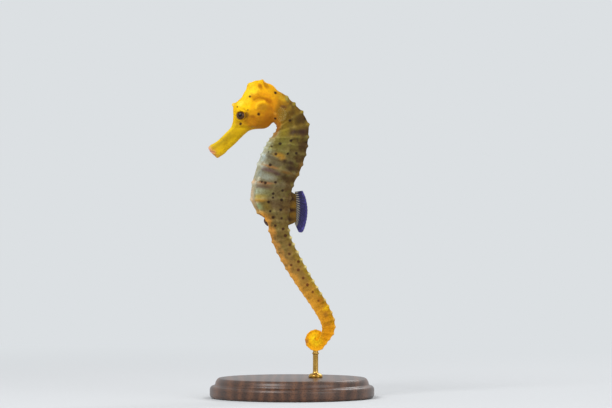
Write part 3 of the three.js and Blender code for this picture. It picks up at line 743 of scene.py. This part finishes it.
# Dark spots. On the head each has its place; on trunk and tail they follow the ridges, about one to a ring.
headSpots = [   # place from the eye's centre (along, up), radius
    (-1.8, 3.9, 0.5), (3.0, 2.4, 0.46), (-0.4, -3.7, 0.72), (7.7, 0.7, 0.7), (3.8, 8.4, 0.54),
    (15.3, 10.1, 0.7), (15.3, -1.3, 0.68), (21.8, -2.2, 0.7),
]
spotRows = [   # place round the section, radius, ring numbers
    (2.1, 0.72, (5.0, 8.45, 9.12, 9.9, 10.7, 11.8)), (1.95, 0.76, (12.6, 13.8, 16.0)),
    (2.7, 0.78, (14.7, 16.85, 18.0, 19.0, 20.25, 21.6)), (2.98, 0.7, (3.45, 5.2, 7.93, 8.63, 8.94)),
    (3.63, 0.7, (9.17, 9.88, 10.6, 11.45, 16.0)), (4.15, 0.76, (4.0, 5.6, 6.8, 8.0)), (4.6, 0.58, (7.98,)),
    (4.95, 0.42, (4.6, 5.5)), (1.2, 0.42, (1.5, 3.6)), (0.25, 0.42, (2.1, 4.1, 6.0, 12.0, 14.5, 17.0)),
    (6.3, 0.36, (12.4, 15.0)),
]
# how far spots stray, less on the left, and how they shrink towards the tail's end
spotForm = {"jitter": 0.2, "shift": 0.15, "swell": 0.2, "leftShare": 0.35, "shrinkFrom": 17, "shrink": 0.06}


def pointAt(ring, around):
    return skin[np.argmin(np.abs(at - ring)), int(round(around / sectionPoints * columns))]


def headPoint(along, up, half):
    # the skin point on one side of the head that shows at this place in side view
    far = (dx - along) ** 2 + (dz - up) ** 2 + 99 * (~half | (station > 3) | (sideFacing < 0.2))
    return skin[np.unravel_index(np.argmin(far), far.shape)]


spotGap = np.full_like(station, 9.0)
for rightSide in (False, True):
    half = ~onLeft if rightSide else onLeft
    for along, up, radius in headSpots:
        spotGap = np.minimum(spotGap, norm(skin - headPoint(along, up, half), axis=2) - radius)
    for rowAround, rowRadius, rings in spotRows:
        for ring in rings:
            jitter, shift, swell = dice.uniform(-1, 1, 3) * (1 if rightSide else spotForm["leftShare"])
            around = rowAround + spotForm["jitter"] * jitter
            around = sectionPoints - around if rightSide else around
            centre = pointAt(ring + spotForm["shift"] * shift, around)
            shrunk = min(1, max(0.5, 1 - spotForm["shrink"] * (ring - spotForm["shrinkFrom"])))
            radius = rowRadius * (1 + spotForm["swell"] * swell) * shrunk
            spotGap = np.minimum(spotGap, norm(skin - centre, axis=2) - radius)

# how high the skin stands over its sunk plates: low places get painted shade, and the coil gets none
crest = np.clip(0.6 * ringCrest + 0.45 * ridgeCrest + 0.5 * knob, 0, 1) * onBody
crest = np.maximum(crest, smoothStep(*fades["noValleyShadeOnCoil"], station))
onTailBack = smoothStep(*fades["tailBack"], station) * (1 - smoothStep(*fades["backSide"], side))
onTailBack = onTailBack * (1 - smoothStep(*fades["tipsEnd"], station))
# on the tail the pale colour of the belly reaches further up the sides
paleSide = side + smoothStep(*fades["highBelly"], station) * smoothStep(*fades["bellySide"], side) * 0.8

skinCells = {
    "station": station, "side": paleSide, "crest": crest, "spotGap": spotGap, "paintShare": paintShare,
    "tip": knob * onBody * (0.07 + 0.6 * onTailBack) * (1 - paintShare),
    # painted shade: the sunk skin round the eyeball is darkened
    "paintedSocketShade": sideFacing * onHead * (1 - smoothStep(1.9, 2.3, fromEye)),
    "paintRed": paint[:, :, 0], "paintGreen": paint[:, :, 1], "paintBlue": paint[:, :, 2],
}
skinCells = {key: padRows(values) for key, values in skinCells.items()}
skinCells["mouth"] = padRows(np.zeros_like(station), mouthShade)
skinCells["lips"] = padRows(hump(station - firstStation, 0.5) * (station < -13), 1.0)

# Skin stretched over bony plates: satin, faintly granular, mottled; its colours run from snout to tail.
skinMaterial, add = newMaterial("painted seahorse skin, satin")
reads = {key: add("Attribute", attribute_name=key, output="Fac") for key in skinCells}
objectPlace = add("TexCoord", output="Object")
elsewhere = add("Mapping", {"Vector": objectPlace, "Location": (0.3, 0.1, 0.2)})
noiseSizes = {   # place, size in mm, detail
    "cloud": (objectPlace, 3.2, 3.0), "blotch": (objectPlace, 2.1, 2.0), "moss": (elsewhere, 2.8, 2.0),
    "freckle": (objectPlace, 0.8, 3.0), "grain": (objectPlace, 0.32, 4.0),
}
noises = {
    key: add("TexNoise", {"Vector": where, "Scale": 1 / (size * mm), "Detail": detail})
    for key, (where, size, detail) in noiseSizes.items()
}
share = add("MapRange", {"Value": reads["station"], "From Min": -15.0, "From Max": 45.0})
rampStops = {
    # from the lips at 0 to the tail's tip at 1
    "back": (share, {
        0: "#d29a44", 0.03: "#e2b818", 0.117: "#ecbc0a", 0.16: "#ffc80a", 0.2: "#eeac0a", 0.225: "#a87c18",
        0.25: "#6c5220", 0.283: "#54401e", 0.35: "#543f1e", 0.383: "#584222", 0.408: "#624b28",
        0.433: "#725a2e", 0.483: "#8c742c", 0.567: "#b08e1c", 0.633: "#c8920c", 0.7: "#e29e06",
        0.833: "#f8ac04", 1: "#ffbe08",
    }),
    "flank": (share, {
        0: "#d09048", 0.03: "#d8ac12", 0.07: "#bc960a", 0.117: "#e2b408", 0.16: "#fcba08", 0.2: "#e6a20a",
        0.225: "#a8740f", 0.25: "#85661a", 0.283: "#7d6626", 0.317: "#786b30", 0.35: "#766a40",
        0.383: "#766a4a", 0.408: "#78683e", 0.433: "#7c683a", 0.483: "#846a38", 0.55: "#a27a34",
        0.617: "#c88c20", 0.7: "#e4980c", 0.833: "#f8aa04", 1: "#ffbe08",
    }),
    "belly": (share, {
        0: "#d0904c", 0.04: "#dcb010", 0.1: "#cc9c0e", 0.13: "#b87a12", 0.2: "#a8680e", 0.235: "#b87416",
        0.26: "#a8823a", 0.3: "#b0a87a", 0.32: "#bac0a4", 0.36: "#c0c4b4", 0.4: "#c6bea4", 0.415: "#c6a05c",
        0.433: "#c88a3c", 0.483: "#c08a42", 0.567: "#cc9030", 0.7: "#e6a01a", 0.833: "#fcb00e",
        1: "#ffbe08",
    }),
    "spots": (share, {0.2: "#2e140a", 0.3: "#24160e", 0.42: "#2a180e", 0.5: "#4e2a14", 0.65: "#7a4010"}),
    "trunk": (share, {0.22: 0, 0.27: 0.65, 0.42: 0.55, 0.55: 0.25, 0.8: 0}),
    # by noise; and painted shade, by height over the sunk plates: the valleys between rings darker
    "shade": (noises["cloud"], {0.3: "#b8ac98", 0.52: "#ffffff"}),
    "speck": (noises["freckle"], {0.3: "#a08c68", 0.5: "#ffffff"}),
    "sunk": (reads["crest"], {0.0: "#c8bc9e", 0.6: "#ffffff"}),
}
ramps = {key: add("ValToRGB", (value,), stops) for key, (value, stops) in rampStops.items()}
waver = add("Math", (noises["cloud"], 0.5), operation="SUBTRACT")
sidePlace = add("Math", (waver, 3.0, reads["side"]), operation="MULTIPLY_ADD")
spotEdge = add("Math", (waver, 0.6, reads["spotGap"]), operation="MULTIPLY_ADD")
# each mask goes smoothly from its first value to its second while the noise or distance goes from low to high
maskSteps = {
    "flank": (sidePlace, 1.2, 2.6, 0, 1), "belly": (sidePlace, 4.3, 5.6, 0, 1),
    "aboveBelly": (sidePlace, 4.2, 5.6, 1, 0.15), "blotch": (noises["blotch"], 0.5, 0.68, 0, 0.9),
    "moss": (noises["moss"], 0.52, 0.66, 0, 0.5), "mottle": (noises["freckle"], 0.25, 0.6, 0.8, 1),
    "speck": (reads["station"], -2.5, 0.5, 0.2, 0.32), "valleyShadeFrom": (reads["station"], -1.5, 1.5, 0, 0.6),
    "valleyShadeTo": (reads["station"], 10, 16, 1, 0.3), "spot": (spotEdge, -0.34, 0.24, 0.96, 0),
    "roughness": (noises["freckle"], 0.3, 0.7, 0.5, 0.64),
}
rangeInputs = ("Value", "From Min", "From Max", "To Min", "To Max")
masks = {
    key: add("MapRange", dict(zip(rangeInputs, values)), interpolation_type="SMOOTHSTEP")
    for key, values in maskSteps.items()
}
factors = {
    "blotch": (masks["blotch"], ramps["trunk"], masks["aboveBelly"]),
    "moss": (masks["moss"], ramps["trunk"], masks["aboveBelly"]),
    "paint": (reads["paintShare"], masks["mottle"]), "lips": (reads["lips"], 0.7),
    # how strong the painted shade in the valleys is along the body
    "rings": (masks["valleyShadeFrom"], masks["valleyShadeTo"]),
}
products = {
    key: reduce(lambda first, second: add("Math", (first, second), operation="MULTIPLY"), values)
    for key, values in factors.items()
}
paintColour = add("CombineColor", [reads[key] for key in ("paintRed", "paintGreen", "paintBlue")])
body = ramps["back"]
# how much of each colour lies over those before it
for weight, colour, way in (
    (masks["flank"], ramps["flank"], "MIX"), (masks["belly"], ramps["belly"], "MIX"),
    (products["blotch"], "#4e3a22", "MIX"), (products["moss"], "#7c7834", "MIX"),
    (products["paint"], paintColour, "MIX"), (0.35, ramps["shade"], "MULTIPLY"),
    # painted shade: the sunk valleys between rings multiplied darker
    (masks["speck"], ramps["speck"], "MULTIPLY"), (products["rings"], ramps["sunk"], "MULTIPLY"),
    (reads["tip"], "#e4d690", "MIX"), (masks["spot"], ramps["spots"], "MIX"),
    (products["lips"], "#dc9c88", "MIX"), (reads["mouth"], "#3a1c10", "MIX"),
    # painted shade in the eye socket
    (reads["paintedSocketShade"], "#4a2c16", "MIX"),
):
    body = add("Mix", {0: weight, 6: body, 7: colour}, output=2, data_type="RGBA", blend_type=way)
pores = add("TexVoronoi", {"Vector": objectPlace, "Scale": 1 / (0.55 * mm)}, output="Distance")
height = add("Math", (pores, 0.5, noises["grain"]), operation="MULTIPLY_ADD")
bump = add("Bump", {"Height": height, "Strength": 0.45, "Distance": 0.12 * mm})
add("OutputMaterial", (add("BsdfPrincipled", {
    "Base Color": body, "Roughness": masks["roughness"], "Normal": bump, "IOR": 1.4,
    "Specular IOR Level": 0.15, "Subsurface Weight": 0.05, "Subsurface Radius": (1.0, 0.5, 0.2),
    "Subsurface Scale": 0.8 * mm}),))

skinMesh = gridMesh("skin", skinPoints, skinCells)
addPiece("skin", skinMesh, skinMaterial, "skin_trunk", *bodyNodes,
         "coronet", "gill_cover_left", "gill_cover_right", "dorsal_fin_base")
print(f"skin: {len(skinMesh.polygons)} faces")

# The eyes: glass, dark iris with a thin gold ring and streaks, and a cornea that bulges a little.
eyeMaterial, add = newMaterial("glass eye, purple-brown iris")
angle, across, upward = (
    add("Attribute", attribute_name=key, output="Fac") for key in ("fromAxis", "axisAcross", "axisUp"))
spokes = add("CombineXYZ", (across, upward, add("Math", (angle, 0.012), operation="MULTIPLY")))
streak = add("TexNoise", {"Vector": spokes, "Scale": 9.0, "Detail": 2.0})
fromAxis = add("MapRange", {"Value": angle, "From Min": 0.0, "From Max": 90.0})
irisColour = add("ValToRGB", (fromAxis,), {
    0.0: "#040303", 0.23: "#050404", 0.245: "#6e4818", 0.262: "#3c2010", 0.34: "#321809", 0.46: "#44240c",
    0.54: "#5c380c", 0.62: "#b8860c", 1.0: "#cf9c10"})
goldShare = add("ValToRGB", (streak,), {0.48: 0, 0.62: 1})
irisBand = add("ValToRGB", (fromAxis,), {0.22: 0, 0.26: 0.45, 0.42: 0.25, 0.5: 0})
goldWeight = add("Math", (goldShare, irisBand), operation="MULTIPLY")
irisColour = add("Mix", {0: goldWeight, 6: irisColour, 7: "#8a5e24"}, output=2, data_type="RGBA")
add("OutputMaterial", (add("BsdfPrincipled", {
    "Base Color": irisColour, "Roughness": 0.3, "Specular IOR Level": 0.15, "Coat Weight": 0.32,
    "Coat Roughness": 0.03, "Coat IOR": 1.4}),))

eyeballForm = {"segments": 56, "rings": 36, "bulge": 0.055, "bulgeTo": 45, "forward": -0.22, "upward": 0.05}


def makeEye(name, node, sign):
    low, high = inMm(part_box(node))
    middle = (low + high) / 2
    outermost = high[1] if sign > 0 else -low[1]
    centre = Vector((middle[0], sign * (outermost - eyeForm["radius"]), middle[2]))
    gaze = Vector((eyeballForm["forward"], sign, eyeballForm["upward"])).normalized()
    bm = bmesh.new()
    bmesh.ops.create_uvsphere(
        bm, u_segments=eyeballForm["segments"], v_segments=eyeballForm["rings"], radius=eyeForm["radius"])
    bmesh.ops.rotate(bm, verts=bm.verts, cent=(0, 0, 0), matrix=gaze.to_track_quat("Z", "Y").to_matrix())
    layers = [bm.verts.layers.float.new(key) for key in ("fromAxis", "axisAcross", "axisUp")]
    for vert in bm.verts:
        way = vert.co.normalized()
        turn = math.degrees(way.angle(gaze))
        vert.co *= 1 + eyeballForm["bulge"] * math.cos(math.radians(min(turn, eyeballForm["bulgeTo"]) * 2))
        flat = way - gaze * way.dot(gaze)
        flat = flat.normalized() if flat.length > 1e-6 else Vector((1, 0, 0))
        for layer, value in zip(layers, (turn, flat.x, flat.z)):
            vert[layer] = value
        vert.co = (vert.co + centre) * mm
    addPiece(name, meshOf(bm, name), eyeMaterial, "eye", node)


makeEye("leftEye", "eye_left", -1)
makeEye("rightEye", "eye_right", 1)
print("eyes are in")


# The fins: a membrane between rays, thick at the rays and thin at the margin.
def finSkin(name, membraneStops, rayStops, hazeColour, clearest, solidest):
    # thin skin: see-through between the rays and firmer on them
    material, add = newMaterial(name)
    rayShare, outShare = (add("Attribute", attribute_name=key, output="Fac") for key in ("ray", "out"))
    finPlace = add("TexCoord", output="Object")
    haze = add("TexNoise", {"Vector": finPlace, "Scale": 1 / (1.6 * mm), "Detail": 2.0})
    membrane, rayColour = (add("ValToRGB", (outShare,), stops) for stops in (membraneStops, rayStops))
    colour = add("Mix", {0: rayShare, 6: membrane, 7: rayColour}, output=2, data_type="RGBA")
    patchy = add("ValToRGB", (haze,), {0.5: 0, 0.66: 0.75})
    outer = add("ValToRGB", (outShare,), {0.55: 0.1, 0.85: 1})
    hazeShare = add("Math", (patchy, outer), operation="MULTIPLY")
    colour = add("Mix", {0: hazeShare, 6: colour, 7: hazeColour}, output=2, data_type="RGBA")
    clear = add("MapRange", {"Value": rayShare, "To Min": clearest, "To Max": solidest})
    add("OutputMaterial", (add("BsdfPrincipled", {
        "Base Color": colour, "Roughness": 0.45, "Alpha": clear, "IOR": 1.4, "Specular IOR Level": 0.2}),))
    return material


violetFin = finSkin(
    "fin membrane, dusky violet",
    {0.0: "#2a2030", 0.2: "#161230", 0.6: "#17133a", 0.82: "#201b4e", 0.93: "#352f6c", 1.0: "#282458"},
    {0.0: "#d2c69a", 0.3: "#b0a890", 0.42: "#2c2756", 0.8: "#342e66", 1.0: "#524c86"}, "#554e94", 0.86, 0.98)
clearFin = finSkin(
    "fin membrane, clear amber",
    {0.0: "#9a7820", 0.5: "#a68c40", 1.0: "#b49c58"}, {0.0: "#a88018", 0.6: "#a88838", 1.0: "#b8a060"},
    "#b8a060", 0.04, 0.24)
brownFin = finSkin(
    "fin membrane, brown",
    {0.0: "#3a1c14", 0.6: "#4a2c1c", 1.0: "#6a4428"}, {0.0: "#3a1c14", 1.0: "#5a3820"}, "#6a4428", 0.75, 0.95)

finBuild = {   # mm; the rays fork at splitFrom of their length, and the margin dips between them by a share
    "across": 22, "perRay": 9, "membrane": 0.06, "rayHalf": 0.1, "rayWidth": 0.16,
    "split": 0.13, "splitFrom": 0.5, "joints": 24, "scallop": 0.02,
}


def makeFin(name, node, material, rays, root, margin, sway, waves, drift=0, power=1):
    # root and margin are points in mm; the fin sways sideways in waves that grow towards its margin
    rows = rays * finBuild["perRay"]
    t = np.linspace(0, 1, rows)
    s = np.linspace(0, 1, finBuild["across"])
    first, last = (through(np.linspace(0, 1, len(line)), line, t) for line in (root, margin))
    rayPlace = t * rays - 0.5
    rayPhase = rayPlace - np.round(rayPlace)
    reach = 1 - finBuild["scallop"] * (1 - np.cos(2 * np.pi * rayPhase)) / 2
    middle = first[:, None] + (last - first)[:, None] * (s * reach[:, None])[:, :, None]
    middle[:, :, 1] += sway * np.sin(2 * np.pi * (waves * t[:, None] + drift * s)) * s ** power
    along, across = np.gradient(middle, axis=0), np.gradient(middle, axis=1)
    normal = np.cross(along, across)
    normal /= np.maximum(norm(normal, axis=2, keepdims=True), 1e-9)
    spacing = norm(along, axis=2) / np.gradient(rayPlace)[:, None]
    split = finBuild["split"] * smoothStep(finBuild["splitFrom"], 1.0, s)
    gap = np.abs(np.abs(rayPhase)[:, None] - split) * spacing
    outward = smoothStep(0.3, 0.6, s)
    jointed = 0.55 + 0.45 * np.cos(s * finBuild["joints"]) ** 2 * outward + 0.45 * (1 - outward)
    ray = hump(gap, finBuild["rayWidth"]) * jointed
    half = finBuild["membrane"] + finBuild["rayHalf"] * ray * (1 - 0.6 * s)
    rim = np.minimum(1, np.minimum(t, 1 - t) * rows / 3)[:, None] * np.minimum(1, np.minimum(s, 1 - s) * 12)
    thick = normal * (half * np.sqrt(rim))[:, :, None]
    points = np.concatenate([middle + thick, (middle - thick)[:, ::-1][:, 1:]], axis=1)
    cells = {
        key: np.concatenate([values, values[:, ::-1][:, 1:]], axis=1)
        for key, values in (("ray", ray), ("out", np.broadcast_to(s, ray.shape)))
    }
    addPiece(name, gridMesh(name, points, cells), material, "fin_membrane", node)


(x0, _, z0), (x1, _, z1) = inMm(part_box("dorsal_fin"))
rootTop, rootBottom = footHigh[2] - 0.5, footLow[2] + 0.6
makeFin("dorsalFin", "dorsal_fin", violetFin, 17,
        [(x0 - 0.6, 0, rootTop), (x0 - 0.4, 0, (rootTop + rootBottom) / 2), (x0 - 0.6, 0, rootBottom)],
        [(x0 + 2.9, 0, z1 + 0.2), (x1 - 0.9, 0, z1 - 3.0), (x1 - 0.1, 0, z1 - 7.4), (x1 - 0.2, 0, z0 + 6.6),
         (x1 - 1.0, 0, z0 + 2.6), (x0 + 2.9, 0, z0 - 0.4), (x0 + 1.1, 0, z0 - 0.5)],
        sway=0.55, waves=1.7, drift=0.25, power=1.4)
for finName, node, sign in (
        ("leftPectoralFin", "pectoral_fin_left", -1), ("rightPectoralFin", "pectoral_fin_right", 1)):
    (x0, y0, z0), (x1, y1, z1) = inMm(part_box(node))
    inner, outer = (y1, y0) if sign < 0 else (y0, y1)
    rootY, midZ = inner - sign * 0.3, (z0 + z1) / 2
    makeFin(finName, node, clearFin, 15,
            [(x0 - 0.3, rootY, midZ + 1.3), (x0 - 0.5, rootY, midZ), (x0 - 0.3, rootY, midZ - 1.3)],
            [(x0 + 1.4, inner + sign * 0.9, z1 + 0.2), (x1 - 0.9, outer - sign * 0.4, z1 - 0.7),
             (x1, outer, midZ), (x1 - 0.9, outer - sign * 0.4, z0 + 0.7),
             (x0 + 1.4, inner + sign * 0.9, z0 - 0.2)],
            sway=sign * 0.3, waves=1.6, power=1.5)
(x0, _, z0), (x1, _, z1) = inMm(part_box("anal_fin"))
makeFin("analFin", "anal_fin", brownFin, 6,
        [(x1 + 0.2, 0, z1 + 0.5), (x1 + 0.5, 0, z1 - 0.9), (x1 + 1.1, 0, z1 - 2.5)],
        [(x0 + 1.7, 0, z1 + 0.9), (x0 + 1.2, 0, z1 + 0.2), (x0 + 1.2, 0, z1 - 0.8), (x0 + 1.8, 0, z1 - 1.9),
         (x0 + 2.7, 0, z1 - 2.8)],
        sway=0.12, waves=1)
print("fins are on")


# The stand: turned walnut base, brass rod with a collar and a tip that reaches into the tail.
def turnedPiece(name, corners, radius, centreX, steps):
    # a closed profile of radius and height, its inner corners rounded off, spun about the upright axis
    profile = [corners[0]]
    for before, corner, after in zip(corners, corners[1:], corners[2:]):
        before, corner, after = map(np.array, (before, corner, after))
        cut = min(radius, 0.45 * norm(before - corner), 0.45 * norm(after - corner))
        start = corner + (before - corner) / norm(before - corner) * cut
        end = corner + (after - corner) / norm(after - corner) * cut
        for t in np.linspace(0, 1, 5):
            profile.append(tuple((1 - t) ** 2 * start + 2 * t * (1 - t) * corner + t * t * end))
    profile.append(corners[-1])
    bm = bmesh.new()
    verts = [bm.verts.new((r * mm, 0, z * mm)) for r, z in profile]
    edges = [bm.edges.new(pair) for pair in zip(verts, verts[1:])]
    bmesh.ops.spin(bm, geom=verts + edges, cent=(0, 0, 0), axis=(0, 0, 1), angle=2 * math.pi,
                   steps=steps, use_merge=True)
    bmesh.ops.remove_doubles(bm, verts=bm.verts, dist=1e-7)
    bmesh.ops.recalc_face_normals(bm, faces=bm.faces)
    bmesh.ops.translate(bm, verts=bm.verts, vec=(centreX * mm, 0, 0))
    return meshOf(bm, name)


baseForm = {   # the moulding's corners: in from the rim and up, mm
    "moulding": ((1.0, 0), (0, 1.0), (0, 4.4), (0.7, 5.4), (2.3, 5.8), (2.7, 7.6)), "topEdge": 3.8,
    "rounding": 0.7, "steps": 160,
}
_, (baseRadius, _, baseTop) = inMm(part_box("stand_base"))
baseMesh = turnedPiece("standBase", [
    (0, 0), *[(baseRadius - inside, up) for inside, up in baseForm["moulding"]],
    (baseRadius - baseForm["topEdge"], baseTop), (0, baseTop)], baseForm["rounding"], 0, baseForm["steps"])

walnutGrain = {"warp": 26, "rings": 0.9, "fibre": 0.5}   # mm
walnut, add = newMaterial("walnut, turned and oiled")   # dull brown with darker rings and open pores
woodPlace = add("TexCoord", output="Object")
stretched = add("Mapping", {"Vector": woodPlace, "Scale": (1.0, 0.12, 1.0), "Location": (0.0, 0.02, 0.012)})
warp = add("TexNoise", {
    "Vector": stretched, "Scale": 1 / (walnutGrain["warp"] * mm), "Detail": 2.0}, output="Color")
bent = add("VectorMath", (warp, (0.012, 0.012, 0.012), stretched), operation="MULTIPLY_ADD")
rings = add("TexWave", {
    "Vector": bent, "Scale": 0.35 / (2 * math.pi) / (walnutGrain["rings"] * mm), "Distortion": 2.2,
    "Detail": 2.5, "Detail Scale": 1.4}, output="Fac", wave_type="BANDS", bands_direction="X")
alongGrain = add("Mapping", {"Vector": woodPlace, "Scale": (1.0, 0.06, 1.0)})
fibre = add("TexNoise", {"Vector": alongGrain, "Scale": 1 / (walnutGrain["fibre"] * mm), "Detail": 3.0})
woodColour = add("ValToRGB", (rings,), {0.0: "#432a1a", 0.5: "#523321", 1.0: "#654129"})
pore = add("ValToRGB", (fibre,), {0.36: "#6d5a4c", 0.5: "#ffffff"})
woodColour = add("Mix", {0: 0.75, 6: woodColour, 7: pore}, output=2, data_type="RGBA", blend_type="MULTIPLY")
woodBump = add("Bump", {"Height": fibre, "Strength": 0.2, "Distance": 0.1 * mm})
woodRough = add("MapRange", {"Value": fibre, "To Min": 0.34, "To Max": 0.5})
add("OutputMaterial", (add("BsdfPrincipled", {
    "Base Color": woodColour, "Roughness": woodRough, "Normal": woodBump, "Coat Weight": 0.2,
    "Coat Roughness": 0.2}),))
addPiece("standBase", baseMesh, walnut, "walnut", "stand_base")

rodForm = {   # corners: out from the collar's or the rod's radius, up from the base or the rod's end, mm
    "radius": 1.2, "collar": ((0, -0.05), (0, 1.1), (-0.8, 1.9)), "shaft": ((0.25, 2.1), (0, 2.7)),
    "ring": ((0, -1.9), (0.35, -1.8), (0.35, -1.2), (0, -1.1), (0, 0.1), (-0.48, 1.2)), "tip": 1.4,
    "rounding": 0.3, "steps": 64,
}
(rodLeft, _, _), (rodRight, _, rodTop) = inMm(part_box("stand_rod"))
rodMesh = turnedPiece("standRod", [
    (0, baseTop + rodForm["collar"][0][1]),
    *[((rodRight - rodLeft) / 2 + out, baseTop + up) for out, up in rodForm["collar"]],
    *[(rodForm["radius"] + out, baseTop + up) for out, up in rodForm["shaft"]],
    *[(rodForm["radius"] + out, rodTop + up) for out, up in rodForm["ring"]],
    (0, rodTop + rodForm["tip"])], rodForm["rounding"], (rodLeft + rodRight) / 2, rodForm["steps"])

brass, add = newMaterial("brass, turned and lacquered")   # bright, finely turned, a little tarnished
brassPlace = add("TexCoord", output="Object")
acrossTool = add("Mapping", {"Vector": brassPlace, "Scale": (0.05, 0.05, 1.0)})
tool = add("TexNoise", {"Vector": acrossTool, "Scale": 1 / (0.25 * mm), "Detail": 2.0})
tarnish = add("TexNoise", {"Vector": brassPlace, "Scale": 1 / (4 * mm), "Detail": 3.0})
brassColour = add("ValToRGB", (tarnish,), {0.35: "#a98038", 0.6: "#c9a052", 0.8: "#d8b468"})
brassBump = add("Bump", {"Height": tool, "Strength": 0.12, "Distance": 0.05 * mm})
brassRough = add("MapRange", {"Value": tool, "To Min": 0.2, "To Max": 0.34})
add("OutputMaterial", (add("BsdfPrincipled", {
    "Base Color": brassColour, "Metallic": 1.0, "Roughness": brassRough, "Normal": brassBump}),))
addPiece("standRod", rodMesh, brass, "brass", "stand_rod")
print("stand is built")
